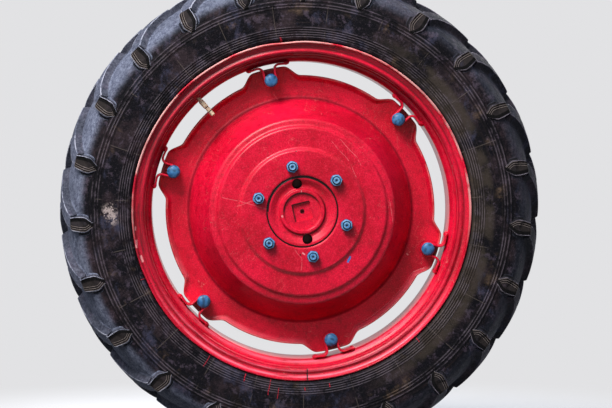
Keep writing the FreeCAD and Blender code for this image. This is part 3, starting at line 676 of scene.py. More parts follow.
def old_rubber():
    rubber = Finish("weathered_rubber")
    radius, angle, station = rubber.polar()
    dust, crest, panel, groove = (rubber.attribute(name) for name in ("dust", "crest", "panel", "groove"))
    x = rubber.axes()[0]
    clouds = rubber.noise(10.0, 7.0, 0.68)
    fine = rubber.noise(90.0, 6.0, 0.75)
    specks = rubber.noise(210.0, 4.0, 0.8)
    colour = rubber.blend(clouds.ramp(0.46, 0.60), rgb(4, 4, 10), rgb(42, 33, 37))
    smears = rubber.noise(16.0, 6.0, 0.7, stretch=(1.0, 1.0, 0.6)).ramp(0.53, 0.66)
    colour = rubber.blend(smears * 0.72, colour, rgb(58, 59, 78))
    wisps = rubber.noise(34.0, 6.0, 0.75)
    colour = rubber.blend(wisps.ramp(0.53, 0.62) * 0.6, colour, rgb(78, 68, 80))
    colour = rubber.blend(wisps.ramp(0.48, 0.40) * 0.7, colour, rgb(4, 4, 9))
    colour = rubber.blend(specks.ramp(0.54, 0.70) * 0.30, colour, rgb(84, 74, 80))
    colour = rubber.blend(specks.ramp(0.48, 0.34) * 0.6, colour, rgb(4, 4, 7))
    rings = rubber.noise(1.0, 5.0, 0.7, at=rubber.vector(angle * 9.0, radius * 210.0, station * 40.0))
    colour = rubber.blend(rings.ramp(0.54, 0.74) * 0.35, colour, rgb(62, 52, 50))
    streaks = rubber.noise(1.0, 6.0, 0.7, at=rubber.vector(angle * 60.0, radius * 14.0, station * 8.0))
    soil = streaks.ramp(0.52, 0.70) * radius.bell(0.452, 0.022).most(radius.bell(0.392, 0.018) * 0.7)
    soil = soil * rubber.noise(7.0, 3.0).ramp(0.38, 0.56)
    colour = rubber.blend(soil * 0.72, colour, rgb(112, 92, 74))

    # On the right a brown film hides the rings beside the rim
    film = x.ramp(0.12, 0.32) * radius.ramp(0.438, 0.424) * clouds.ramp(0.36, 0.50)
    colour = rubber.blend(film * 0.6, colour, rgb(66, 58, 50))

    # Dust lies between the bars; it is paler on the left, partly dust and partly painted light, and its bluish grey
    # is partly a painted sky reflection
    left_dust_and_light = x.ramp(0.34, -0.30)
    dust = dust * (left_dust_and_light * 0.8 + 0.2)
    dust_and_sky = rubber.blend((fine * 0.5 + specks * 0.5).ramp(0.36, 0.64), rgb(62, 66, 84), rgb(124, 130, 148))
    colour = rubber.blend(dust * (clouds.ramp(0.35, 0.62) * 0.3 + 0.7), colour, dust_and_sky)
    colour = rubber.blend(panel * 0.85, colour, rubber.blend(fine, rgb(20, 18, 19), rgb(58, 52, 50)))
    # Crests of the bars and ribs are paler: partly worn rubber and partly painted highlight
    worn_and_lit_crest = crest * rubber.noise(26.0, 5.0, 0.75).ramp(0.42, 0.56)
    colour = rubber.blend(worn_and_lit_crest * 0.62, colour, rubber.blend(dust, rgb(136, 124, 134), rgb(190, 192, 206)))
    # Painted shade: near black in the grooves of the sidewall, the gap at the rim's lip and the shaded parts of the
    # bar ends
    colour = rubber.blend(groove * 0.85, colour, rgb(7, 7, 9))

    # The end of a bar: painted shadow in the hollow under its leading edge, and mould lines beside the others,
    # painted as shade in their grooves and highlight on their ribs
    leading, trailing, run = (rubber.attribute(name) for name in ("leading", "trailing", "run"))
    on_end = panel.ramp(0.3, 0.55)
    hollow_shadow = leading.ramp(0.0010, 0.0016) * leading.ramp(0.0112, 0.0088) * on_end
    colour = rubber.blend(hollow_shadow * 0.95, colour, rgb(3, 3, 4))
    inward = trailing.least(run)
    lines = ((inward * (1 / TOE_RIB_PITCH)).math("FRACT") - 0.5).size()
    lined = inward.ramp(0.0139, 0.0130) * on_end * (1.0 - hollow_shadow)
    colour = rubber.blend(lines.ramp(0.22, 0.36) * lined * 0.9, colour, rgb(4, 4, 5))
    colour = rubber.blend(lines.ramp(0.16, 0.06) * lined * 0.7, colour, rgb(136, 124, 118))

    # Radial lines left by the mould, seen only in places
    spoke = ((angle * MOULD_LINES + 0.22).math("FRACT") - 0.5).size() * radius * (math.tau / MOULD_LINES)
    spoke = spoke.ramp(0.0014, 0.0005) * rubber.noise(24.0, 2.0).ramp(0.42, 0.54) * radius.ramp(0.464, 0.460)
    colour = rubber.blend(spoke * 0.38, colour, rgb(104, 94, 88))
    drips = paint_drips(rubber, station)
    colour = rubber.blend(drips, colour, rgb(176, 34, 52))
    smear = rubber.stroke(SMUDGE, 0.017, (rubber.noise(60.0, 2.0) - 0.5) * 0.03)
    smear = smear * rubber.noise(110.0, 5.0, 0.8).ramp(0.46, 0.54) * station.ramp(MID_STATION, MID_STATION + 0.05)
    colour = rubber.blend(smear * 0.85, colour, rgb(176, 160, 156))
    cracks = rubber.cells(140.0, "DISTANCE_TO_EDGE").ramp(0.05, 0.0)
    cracks = cracks * rubber.noise(12.0, 2.0).ramp(0.5, 0.66)
    surface = fine - cracks * 0.6 + drips * 0.8 + spoke * 0.5 + rubber.noise(300.0, 3.0) * 0.5
    rough = 0.5 + clouds * 0.25 + soil * 0.12 + dust * 0.2 - drips * 0.2
    rubber.set(Base_Color=colour, Roughness=rough, Normal=rubber.bump(surface, 0.7, 0.0020))
    return rubber.set(Specular_IOR_Level=0.08)


rubber = old_rubber()
print("rubber nodes", len(rubber.tree.nodes))

# %% Steel, brass, seal and cast iron
def metal(name, bright, dull, metallic, roughness, rust=0.0):
    """Bare metal with stains; rust is the share of it that has browned."""
    bare = Finish(name)
    stain = bare.noise(55.0, 5.0, 0.65)
    colour = bare.blend(stain.ramp(0.35, 0.7), bright, dull)
    brown = bare.noise(28.0, 6.0, 0.7).ramp(0.72 - rust * 0.4, 0.82 - rust * 0.3)
    colour = bare.blend(brown, colour, rgb(88, 52, 34))
    colour = bare.blend(bare.attribute("grime") * 0.95, colour, rgb(10, 9, 9))
    bare.set(Base_Color=colour, Metallic=metallic - brown * metallic)
    bare.set(Roughness=stain * 0.25 + brown * 0.3 + roughness)
    return bare.set(Normal=bare.bump(bare.noise(240.0, 4.0), 0.25, 0.0008))


# The dark of the steel and of the retainer's casting is partly oil and grease and partly painted shade for the
# axle's access holes
oily_and_shaded_steel = metal("oily_shaded_steel", rgb(64, 60, 56), rgb(34, 31, 29), 0.6, 0.4, 0.3)
brass = metal("creamy_brass", rgb(214, 192, 160), rgb(158, 132, 108), 0.05, 0.35)
seal = metal("seal_rubber", rgb(28, 28, 30), rgb(40, 38, 38), 0.0, 0.6)
cast = blue_paint("painted_casting", rgb(46, 82, 116), rgb(60, 94, 124))
greasy_and_shaded = metal("greasy_shaded_casting", rgb(44, 40, 38), rgb(26, 23, 22), 0.2, 0.5, 0.2)
print("plain finishes ready")

# %% [markdown]
# ## The tyre's body
# The body is one closed profile carried round the axle: bead, sidewall, shoulder and the floor
# between the bars. Its sidewall isn't plain. A mould leaves fine rings above the rim and a double
# ring under the bars, so the profile is pushed outwards there by narrow bells of the radius.

# %% Shoulder and crown
TREAD_DEPTH = 0.017
CROWN_DROP = 0.030
CROWN_HALF = HALF_WIDTH - 0.009
FLOOR_R = TYRE_R - TREAD_DEPTH
SHOULDER_START = 0.086
TOE_LINE_R = 0.4770


def crown(across, top_r):
    """Radius of a tread surface: the arc through top_r in the middle and its drop at the edge."""
    bend = (CROWN_HALF ** 2 + CROWN_DROP ** 2) / (2 * CROWN_DROP)
    return top_r - bend + np.sqrt(bend ** 2 - across ** 2)


def shoulder_path():
    """The casing from the floor's edge down to the toe line, as distance across and radius."""
    return rounded_path([
        (SHOULDER_START - 0.006, crown(SHOULDER_START - 0.006, FLOOR_R), 0),
        (SHOULDER_START + 0.0095, FLOOR_R - CROWN_DROP + 0.002, 0.022),
        (HALF_WIDTH - 0.0045, TOE_LINE_R, 0)])


print("floor radius", round(FLOOR_R, 4))

# %% Tyre body
BEAD_R = 0.356
BEAD_HALF = 0.0885
RIB_START, RIB_END, RIB_PITCH, RIB_HEIGHT = 0.3870, 0.4130, 0.0052, 0.0013
RING_RADII, RING_HEIGHT = (0.4565, 0.4625, 0.4705), 0.0016
TYRE_COLUMNS = 360


def radius_left(profile):
    """Distance in radius from a point to the nearest ring of the sidewall."""
    away = profile[:, :1] - np.array(RING_RADII)
    return np.take_along_axis(away, np.abs(away).argmin(axis=1)[:, None], axis=1)[:, 0]


def ringed_span(profile, bulge):
    """1 on the sidewall between its outer ribs and the toe line, 0 elsewhere."""
    on_wall = np.abs(profile[:, 1]) > bulge - 0.013
    return on_wall * smooth((profile[:, 0] - 0.446) / 0.004) * smooth((0.478 - profile[:, 0]) / 0.003)


def lip_gap(profile):
    """1 in the dark gap between the tyre and the lip of the rim."""
    return smooth((LIP_R + 0.0036 - profile[:, 0]) / 0.0016)


def tyre_body():
    bulge = HALF_WIDTH
    shoulder = shoulder_path()[:, ::-1][::-1]
    side = rounded_path([
        (BEAD_R, 0.0645, 0), (BEAD_R, BEAD_HALF, 0.003), (0.3750, BEAD_HALF, 0.004),
        (LIP_R + 0.0006, 0.0945, 0.002), (LIP_R + 0.0006, bulge - 0.005, 0.003),
        (0.4124, bulge - 0.0015, 0.05), (0.4408, bulge - 0.0010, 0.1), (0.4680, bulge - 0.0022, 0.02),
        (TOE_LINE_R + 0.0005, bulge - 0.0048, 0)])
    across = np.linspace(shoulder[-1, 1], -shoulder[-1, 1], 300)[1:-1]
    floor = np.stack([crown(across, FLOOR_R), across], axis=1)
    half = np.concatenate([side, shoulder])
    outer = np.concatenate([half, floor, (half * (1, -1))[::-1]])
    radius, on_side = outer[:, 0], np.abs(outer[:, 1]) > bulge - 0.013
    ribbed = on_side * smooth((radius - RIB_START) / 0.002) * smooth((RIB_END - radius) / 0.002)
    ringed = sum(hump(radius - ring, 0.0014) for ring in RING_RADII) * on_side
    weight = 1 + 5.5 * ribbed + 3.5 * (ringed > 0.02) + 2.0 * hump(radius - TOE_LINE_R, 0.004) * on_side
    marks = np.stack([ribbed, ringed], axis=1)
    outer = along(np.concatenate([outer, marks], axis=1), 226, weight=weight)
    ribbed, ringed = outer[:, 2], outer[:, 3]
    phase = (outer[:, 0] - RIB_START) / RIB_PITCH * math.tau
    push = ribbed * RIB_HEIGHT * (0.5 - 0.5 * np.cos(phase)) ** 2 + ringed * RING_HEIGHT
    outer = outer[:, :2] + push[:, None] * sideways(outer[:, :2])
    inner = rounded_path([
        (0.369, -0.0645, 0), (0.387, -0.074, 0.02), (0.435, -0.092, 0.04),
        (0.478, -0.081, 0.03), (0.505, -0.03, 0.1), (0.505, 0.03, 0.1), (0.478, 0.081, 0.03),
        (0.435, 0.092, 0.04), (0.387, 0.074, 0.02), (0.369, 0.0645, 0)])
    loop = np.concatenate([outer, along(inner, 40)])
    across = np.abs(loop[:, 1])
    # Floor between the bars, for dust and painted sky light
    dust_and_sky = smooth((loop[:, 0] - TOE_LINE_R - 0.005) / 0.020) * (np.arange(len(loop)) < len(outer))
    # Painted highlight and wear on the rib and ring crests; painted shade between and beside them and in the gap at
    # the rim's lip
    crest = np.concatenate([ribbed * (0.5 - 0.5 * np.cos(phase)) ** 2 + np.clip(ringed, 0, 1), np.zeros(40)]) * 0.45
    between = (0.5 + 0.5 * np.cos(phase)) ** 2 * ribbed
    beside = hump(np.abs(radius_left(outer)) - 0.0034, 0.0014) * ringed_span(outer, bulge)
    groove = np.concatenate([np.clip(between * 0.7 + beside + lip_gap(outer), 0, 1), np.zeros(40)])
    loop = loop + (0, MID_STATION)
    angles = np.arange(TYRE_COLUMNS) * math.tau / TYRE_COLUMNS
    grid = round_axle(loop, angles)
    side_share = smooth((loop[:, 0] - 0.40) / 0.04) * smooth((0.485 - loop[:, 0]) / 0.02)
    grid[..., 1] += side_share[:, None] * 0.0005 * waves(grid, 0.22, 3)
    columns = np.ones(TYRE_COLUMNS)
    marks = {"dust": dust_and_sky[:, None] * columns, "crest": crest[:, None] * columns,
             "groove": groove[:, None] * columns}
    return piece("tyre_body", grid, marks=marks)


tyre = dress(tyre_body(), rubber, "tyre_rubber", "wheel", "tyre")

# %% [markdown]
# ## The tread bars
# Each bar stands on the floor, bends backwards towards the middle of the tread and wraps over the
# shoulder down to a blunt pointed toe on the sidewall. A sweep does this well: rows run along the
# bar from nose to toe, and each row is a section with drafted walls, a wide fillet at the foot and
# worn, rounded edges. Every point lies between a foot line on the casing and a top line.

# %% Tread bars
BARS = 23
TREAD_PHASE = math.radians(-6.6)
BAR_HALF = 0.0125
TOE_R = 0.468
BAR_OVERLAP = 0.009
BAR_SWEEP = 0.1112
BAR_START = 0.0059
BAR_BEND = 1.43
BAR_MIDDLE = 0.0585
CORNER_ACROSS = CROWN_HALF + 0.0035
END_ACROSS = HALF_WIDTH - 0.0006
NOSE_ROWS = 8
TOE_RIB_HEIGHT = 0.0010


def bar_lines():
    """Top and foot of a bar from its nose to its toe, each as distance across and radius.

    On the shoulder both run down, and rows join points at the same share of each length."""
    across = np.linspace(-BAR_OVERLAP, SHOULDER_START, 30)
    over = np.stack([across, crown(across, TYRE_R)], axis=1)
    under = np.stack([across, crown(across, FLOOR_R)], axis=1)
    corner_r = crown(CROWN_HALF, TYRE_R) + 0.0015
    end = rounded_path([
        (*over[-1], 0), (CORNER_ACROSS, corner_r, 0.0035), (END_ACROSS, TOE_R + 0.018, 0.02),
        (END_ACROSS, TOE_R, 0.0012), (END_ACROSS - 0.005, TOE_R - 0.002, 0)])
    casing = rounded_path([
        (*under[-1], 0), (SHOULDER_START + 0.0095, FLOOR_R - CROWN_DROP + 0.002, 0.022),
        (HALF_WIDTH - 0.0045, TOE_LINE_R, 0.01), (HALF_WIDTH - 0.006, TOE_R - 0.004, 0)])
    rows = 46
    end_share = np.linspace(0, 1, rows + 1)[1:]
    top = np.concatenate([over, at_shares(end, end_share)])
    foot = np.concatenate([under, at_shares(casing, end_share)])
    drop = np.concatenate([np.zeros(len(across)), end_share])
    return top, foot, drop


def at_shares(path, shares):
    """Points of a path at given shares of its length."""
    travelled = lengths(path) / lengths(path)[-1]
    return np.stack([np.interp(shares, travelled, path[:, k]) for k in (0, 1)], axis=1)


def bar_section():
    """Half a section: share of the half width, run beyond it and height, both in wall heights."""
    turn = np.linspace(0, math.pi / 2, 5)
    top = np.array([(share, 0.0, 1.0) for share in (0, 0.3, 0.6, 0.74, 0.84)])
    edge = np.stack([np.ones(5), -0.10 * (1 - np.sin(turn)), 1 - 0.10 * (1 - np.cos(turn))], axis=1)
    fillet = np.stack([np.ones(5), 0.12 + 0.42 * (1 - np.cos(turn)), 0.42 * (1 - np.sin(turn))], axis=1)
    sunk = np.array([(1.0, 0.56, -0.12)])
    right = np.concatenate([top, edge, fillet, sunk])
    return np.concatenate([(right * (-1, -1, 1))[:0:-1], right])


def bar_rows(side):
    """Points of one bar at the top of the wheel and its marks, as grids of rows by section points."""
    top, foot, drop = bar_lines()
    section = bar_section()
    across_top = np.minimum(top[:, 0], CORNER_ACROSS)
    q = np.clip((CORNER_ACROSS - across_top) / (CORNER_ACROSS + BAR_OVERLAP), 0, 1)
    lie = BAR_START + BAR_SWEEP * q ** BAR_BEND
    steep = np.arctan(BAR_SWEEP * BAR_BEND * q ** (BAR_BEND - 1) / (CORNER_ACROSS + BAR_OVERLAP))
    wide = 1 + 0.10 * smooth((across_top - 0.04) / 0.05) + 0.30 * smooth(drop / 0.55)
    point = 1 - 0.70 * smooth((drop - 0.62) / 0.36)
    half = BAR_HALF * wide * point

    # Rows of the nose come first: they rise from the floor a little ahead of the top's end
    nose = np.linspace(0, 1, NOSE_ROWS + 1)[:-1]
    pad = np.concatenate([np.zeros(NOSE_ROWS, int), np.arange(len(lie))])
    rise = np.concatenate([np.sin(nose * math.pi / 2) ** 0.6, np.ones(len(lie))])[:, None]
    ahead = np.concatenate([0.007 * (1 - nose) ** 1.4, np.zeros(len(lie))])
    top, foot, lie, steep, half, drop = (v[pad] for v in (top, foot, lie, steep, half, drop))
    height = np.linalg.norm(top - foot, axis=1)
    offset = section[None, :, 0] * half[:, None] + section[None, :, 1] * height[:, None]
    lift = section[None, :, 2] * np.where(section[None, :, 2] > 0, rise, 1)
    shift = offset * np.sin(steep)[:, None] - (ahead * np.cos(steep))[:, None]
    shift = shift * (1 - smooth(drop / 0.12))[:, None]
    x = (lie - BAR_MIDDLE)[:, None] + offset * np.cos(steep)[:, None] + (ahead * np.sin(steep))[:, None]
    on_crown = drop[:, None] <= 0
    moved = np.clip(foot[:, :1] + shift, -0.09, SHOULDER_START + 0.004)
    top_a = np.where(on_crown, top[:, :1] + shift, top[:, :1])
    foot_a = np.where(on_crown, moved, foot[:, :1])
    top_r = np.where(on_crown, crown(np.clip(top_a, -0.09, CROWN_HALF), TYRE_R), top[:, 1:])
    foot_r = np.where(on_crown, crown(moved, FLOOR_R), foot[:, 1:])
    across = foot_a + (top_a - foot_a) * lift
    radius = foot_r + (top_r - foot_r) * lift

    # The end of the bar has a sunk panel, and three low ribs across it above its toe
    share = np.abs(section[None, :, 0]) * (section[None, :, 1] == 0) + 2.0 * (section[None, :, 1] != 0)
    on_top = share < 0.9
    above_toe = (1 - drop[:, None]) * 0.058 - 0.002
    panel = smooth((drop[:, None] - 0.17) / 0.03) * smooth((above_toe - 0.020 - 0.009 * share) / 0.003) * on_top
    run = np.ones_like(across) * (1 - drop[:, None]) * 0.058
    leading = (1 - section[None, :, 0]) * half[:, None]
    trailing = (1 + section[None, :, 0]) * half[:, None]
    ribs = (0.5 - 0.5 * np.cos(run / TOE_RIB_PITCH * math.tau)) ** 2 * (run < 3 * TOE_RIB_PITCH)
    ribs = ribs * smooth((trailing - run) / 0.002) * (1 - panel) * (share < 1.5)
    across = across - panel * 0.0030 + ribs * TOE_RIB_HEIGHT
    grid = np.stack([x, radius, across], axis=-1)
    grid = np.stack([grid[..., 0], -(MID_STATION + side * grid[..., 2]),
                     np.sqrt(grid[..., 1] ** 2 - grid[..., 0] ** 2)], axis=-1)
    flat = np.ones_like(across)
    # The bar's top edges are paler, partly wear and partly painted highlight
    at_edge = (share > 0.9) * smooth((lift - 0.90) / 0.06)
    on_end = smooth((drop[:, None] - 0.08) / 0.08)
    dust = flat * np.where(share < 0.9, 0.72, np.where(lift < 0.09, 1.0, 0.40)) + 0.5 * at_edge
    dust = np.clip(dust, 0, 1) * (1 - on_end * (share < 1.2) * (1 - 0.6 * at_edge))
    clockwise = section[None, :, 0] > 0
    crest = at_edge * (1 - 0.35 * on_end * (1 - clockwise)) + 0.55 * (share == 0.84) * (1 - on_end)
    # Painted shade: a band inside the panel under its leading edge, and under the toe's lower wall
    shade = panel * smooth((section[None, :, 0] - 0.5) / 0.2)
    under = on_end * (1 - clockwise) * (share > 0.9) * smooth((0.6 - lift) / 0.3) * (lift > 0.02)
    groove = np.clip(shade + under, 0, 1)
    end = on_end * (share < 1.2) * flat
    return grid, {"dust": dust, "crest": crest, "panel": end * (0.6 + 0.4 * panel), "groove": groove,
                  "leading": leading, "trailing": trailing, "run": run}


def bar_row(name, side, start, seed):
    """One row of bars round the tyre, each worn a little differently."""
    rows, marks = bar_rows(side)
    draw = np.random.default_rng(seed)
    grids = []
    for turn in start + np.arange(BARS) * math.tau / BARS:
        worn = spin(rows, turn)
        radius = np.hypot(worn[..., 0], worn[..., 2])
        wear = (0.0004 * (1 + waves(worn, 0.04, int(draw.integers(1000)))) + draw.uniform(0, 0.0008))
        scale = 1 - wear * smooth((radius - 0.51) / 0.02) / radius
        grids.append(worn * np.stack([scale, np.ones_like(scale), scale], axis=-1))
    marks = {key: np.tile(values.ravel(), BARS) for key, values in marks.items()}
    return piece(name, grids, wrap_rows=False, wrap_columns=True, marks=marks)


half_pitch = math.pi / BARS
for name, side, start, seed in (("tread_bars_outer", 1, 0, 11), ("tread_bars_inner", -1, half_pitch, 12)):
    bars = bar_row(name, side, TREAD_PHASE + start, seed)
    dress(bars, rubber, "tyre_rubber", "wheel", "tyre")

# %% [markdown]
# ## The rim
# A rim is rolled from one flat strip, so its section is a line with an even thickness. The line
# below runs on the side that faces the axle, from lip to lip. Years of stones and tyre irons have
# left the lip wavy, with a dent at the top and a bulge at the lower left.

# %% Rim
RIM_T = 0.0045
RIM_COLUMNS = 420
RIM_LINE = [
    # radius, distance from the middle plane, corner radius
    (0.3765, 0.1019, 0), (0.3765, 0.0934, 0.006), (0.3511, 0.0934, 0.007),
    (0.3511, 0.0629, 0.008), (0.3361, 0.0519, 0.0125),
]
DENTS = [
    # angle in degrees, half width in degrees, radial and outboard push
    (96.0, 4.5, -0.0022, -0.0012), (112.0, 7.0, 0.0008, 0.0), (204.0, 4.0, -0.0010, 0.0006),
    (219.0, 9.0, 0.0012, 0.0010), (236.0, 4.0, -0.0009, 0.0), (322.0, 8.0, -0.0006, 0.0004),
]


def rim_mesh():
    line = RIM_LINE + [(r, -across, radius) for r, across, radius in RIM_LINE[::-1]]
    path = along(rounded_path(line), 98)
    radius, across = path.T
    groove = hump(radius - 0.3655, 0.0020) * (np.abs(across) > 0.088) * 0.0026
    ridge = hump(radius - 0.3592, 0.0026) * (np.abs(across) > 0.088) * 0.0022
    bead = hump(np.abs(across) - 0.0585, 0.0028) * 0.0012
    normal = sideways(path)
    front = path - normal * (ridge + bead - groove)[:, None]
    back = path + normal * RIM_T
    edge = np.array([(front[-1] + back[-1]) / 2 + (0, -0.0018), (front[0] + back[0]) / 2 + (0, 0.0018)])
    loop = np.concatenate([front, edge[:1], back[::-1], edge[1:]]) + (0, MID_STATION)
    angles = np.arange(RIM_COLUMNS) * math.tau / RIM_COLUMNS
    outer_lip = smooth((loop[:, 0] - 0.356) / 0.02) * (loop[:, 1] > MID_STATION)
    pull = np.zeros((2, RIM_COLUMNS))
    for degrees, width, radial, outboard in DENTS:
        away = (np.degrees(angles) - degrees + 180) % 360 - 180
        pull += np.array([[radial], [outboard]]) * hump(away, width)
    pull += 0.0004 * np.sin(angles * np.array([[11.0], [7.0]]) + 1.0)
    grid = np.stack([loop[:, 0, None] + outer_lip[:, None] * pull[0],
                     loop[:, 1, None] + outer_lip[:, None] * pull[1]], axis=-1)
    return piece("rim", round_axle(grid, angles))


rim = dress(rim_mesh(), red, "wheel_red", "wheel", "wheel_rim")

# %% [markdown]
# ## The disc
# The disc is pressed from plate: a flat hub face, two steps, a steep cone and a flat band that
# reaches out in six ears. Its outline is a circle plus a rounded plateau at each ear, as a
# function of the angle. Between the ears the edge is curled towards the camera, and the curl
# fades out along the ears.

# %% Disc
DISC_BORE = 0.0805
EDGE_R = 0.3031
EAR_REACH = 0.0220
EAR_HALF = math.radians(9.6)
EAR_FLANK = math.radians(6.8)
CURL = 0.0095
DISC_COLUMNS = 432
BAND_START = 0.270
FACE_DROP = 0.007
STEP_DROP = 0.008
DISC_LINE = [
    # radius, drop below the hub face, corner radius
    (DISC_BORE + 0.0005, 0.0, 0), (0.136, 0.0, 0.006), (0.143, FACE_DROP, 0.006),
    (0.187, FACE_DROP, 0.007), (0.193, FACE_DROP + STEP_DROP - 0.0005, 0.007),
    (0.207, FACE_DROP + STEP_DROP + 0.001, 0.010), (0.2511, 0.1135, 0.016), (0.266, 0.1134, 0.012),
    (0.274, 0.114, 0.012), (0.292, 0.114, 0),
]


def ear_share(angles):
    """1 on an ear, 0 between ears, with a smooth flank, from the angle to the nearest ear."""
    away = np.abs((angles[..., None] - arm_angles + math.pi) % math.tau - math.pi).min(axis=-1)
    return smooth((EAR_HALF + EAR_FLANK / 2 - away) / EAR_FLANK)


def from_rim(radius, outline):
    """Distance from a point of the disc to its outline, along the radius."""
    return outline[None, :] - radius


def disc_mesh():
    angles = np.arange(DISC_COLUMNS) * math.tau / DISC_COLUMNS
    ear = ear_share(angles)
    outline = EDGE_R + EAR_REACH * ear
    line = rounded_path(DISC_LINE)
    bend = np.abs(np.gradient(np.arctan2(*np.gradient(line, axis=0).T)))
    weight = 1 + 2.2 * smooth(np.convolve(bend, np.ones(15), "same") * 4)
    line = along(line[line[:, 0] < BAND_START], 96, weight=weight[line[:, 0] < BAND_START])
    radius = np.repeat(line[:, :1], DISC_COLUMNS, axis=1)
    drop = np.repeat(line[:, 1:], DISC_COLUMNS, axis=1)

    # Outer band: rows close up towards the edge, where the curl rises
    reach = 1 - (1 - np.linspace(0, 1, 29)[1:, None]) ** 1.6
    band_r = BAND_START + (outline - BAND_START) * reach
    ridge = np.interp(band_r, *rounded_path(DISC_LINE).T)
    from_edge = outline - band_r
    rise = CURL * (1 - ear) ** 0.7 * smooth(1 - from_edge / 0.012)
    front_r = np.concatenate([radius, band_r])
    front_s = HUB_STATION - np.concatenate([drop, ridge - rise])
    tilt_r, tilt_s = np.gradient(front_r, axis=0), np.gradient(front_s, axis=0)
    size = np.hypot(tilt_r, tilt_s)
    normal_r, normal_s = -tilt_s / size, tilt_r / size
    back_r, back_s = front_r - normal_r * DISC_T, front_s - normal_s * DISC_T
    keep = np.unique(np.linspace(0, len(back_r) - 1, 48).astype(int))[::-1]
    back_r, back_s = back_r[keep], back_s[keep]
    turn = np.linspace(0, math.pi, 7)[1:-1, None]
    middle_r, middle_s = (front_r[-1] + back_r[0]) / 2, (front_s[-1] + back_s[0]) / 2
    half_r, half_s = front_r[-1] - middle_r, front_s[-1] - middle_s
    edge_r = middle_r + half_r * np.cos(turn) + half_s * np.sin(turn) * 0.5
    edge_s = middle_s + half_s * np.cos(turn) - half_r * np.sin(turn) * 0.5
    bore = np.array([(DISC_BORE, HUB_STATION - DISC_T + 0.0005), (DISC_BORE, HUB_STATION - 0.0018),
                     (DISC_BORE + 0.0001, HUB_STATION - 0.0006)])
    bore = np.repeat(bore[:, None], DISC_COLUMNS, axis=1)
    grid = np.stack([np.concatenate([front_r, edge_r, back_r]),
                     np.concatenate([front_s, edge_s, back_s])], axis=-1)
    grid = np.concatenate([grid, bore])
    points = round_axle(grid, angles)
    loose = smooth((grid[..., 0] - 0.15) / 0.05)
    points[..., 1] += loose * 0.0005 * waves(points, 0.11, 5)
    worn = np.zeros(grid.shape[:2])
    worn[:len(front_r)] = hump(from_rim(front_r, outline) - 0.0008, 0.0016)
    # Mark for the painted highlight on the curl
    curl = np.zeros(grid.shape[:2])
    curl[:len(front_r)] = hump(from_rim(front_r, outline) - 0.0055, 0.0040) * (1 - ear)
    return piece("disc", points, marks={"worn": worn, "curl": curl})


disc = dress(disc_mesh(), red, "wheel_red", "wheel", "wheel_disc")

# %% [markdown]
# ## Lugs and clamp bolts
# Six hoops of strip steel are welded inside the rim, and a round head bolt goes through each hoop
# and an ear. A hoop is a section with rounded edges carried along a bent line. The welds at its
# feet are thick uneven ropes along the edge of the foot.

# %% Lugs
STRIP_T = 0.005
STRIP_WIDTH = 0.044
HOOP_HALF = 0.01475
FOOT_R = 0.33585
FOOT_HALF = 0.042


def lug_grids():
    """Hoop and two weld ropes at the top of the wheel."""
    bottom = CLAMP_R - HOOP_HALF
    path = along(rounded_path([
        (-FOOT_HALF, FOOT_R - 0.0080, 0), (-HOOP_HALF - 0.001, FOOT_R - 0.0050, 0.009),
        (-HOOP_HALF, bottom, HOOP_HALF - 0.0002), (HOOP_HALF, bottom, HOOP_HALF - 0.0002),
        (HOOP_HALF + 0.001, FOOT_R - 0.0050, 0.009), (FOOT_HALF, FOOT_R - 0.0080, 0)]), 76)
    normal = sideways(path)
    turn = np.linspace(0, math.tau, 29)[:-1]
    thick = np.sign(np.cos(turn)) * np.abs(np.cos(turn)) ** 0.45 * STRIP_T / 2
    wide = np.sign(np.sin(turn)) * np.abs(np.sin(turn)) ** 0.18 * STRIP_WIDTH / 2
    middle = path + normal * STRIP_T / 2
    xz = middle[:, None] + normal[:, None] * thick[None, :, None]
    station = EAR_STATION + STRIP_WIDTH / 2 + wide
    y = np.broadcast_to(-station, xz.shape[:2])
    hoop = np.stack([xz[..., 0], y, xz[..., 1]], axis=-1)
    hoop = hoop + 0.0004 * waves(hoop, 0.02, 8)[..., None]
    ropes = []
    for side in (-1, 1):
        rows = np.linspace(0, 1, 40)[:, None]
        around = np.linspace(0, math.tau, 17)[None, :-1]
        swell = np.sqrt(np.clip(1 - (2 * rows - 1) ** 8, 0.02, 1))
        swell = swell * (0.0046 + 0.0006 * np.sin(rows * 52) + 0.0004 * np.sin(rows * 23 + side))
        x = side * (FOOT_HALF + 0.001) + swell * np.cos(around) * 1.25
        z = FOOT_R - 0.0045 + swell * np.sin(around) * 0.8
        y = -(EAR_STATION + 0.001 + rows * (STRIP_WIDTH - 0.002)) + 0 * around
        ropes.append(np.stack([x, y, z], axis=-1))
    return [hoop] + ropes


lug_parts = lug_grids()
for k, angle in enumerate(arm_angles):
    turned = [spin(part, angle - math.pi / 2) for part in lug_parts]
    lug = piece(f"lug_{k + 1}", turned, wrap_rows=False)
    dress(lug, red, "wheel_red", "wheel", f"rim_lug_{k + 1}")

# %% Clamp bolts
HEAD_STATION = EAR_STATION + STRIP_WIDTH
HEAD_R = 0.015
HEAD_H = -bolt_low.y - HEAD_STATION
BOLT_BACK = -bolt_high.y
BOLT_R = 0.009
TURN_COLUMNS = 64


def lathe_at(profile, place, columns=TURN_COLUMNS):
    """A profile of radius and station carried round its own axis at a place x, z."""
    angles = np.arange(columns) * math.tau / columns
    return round_axle(profile, angles) + np.array((place[0], 0, place[1]))


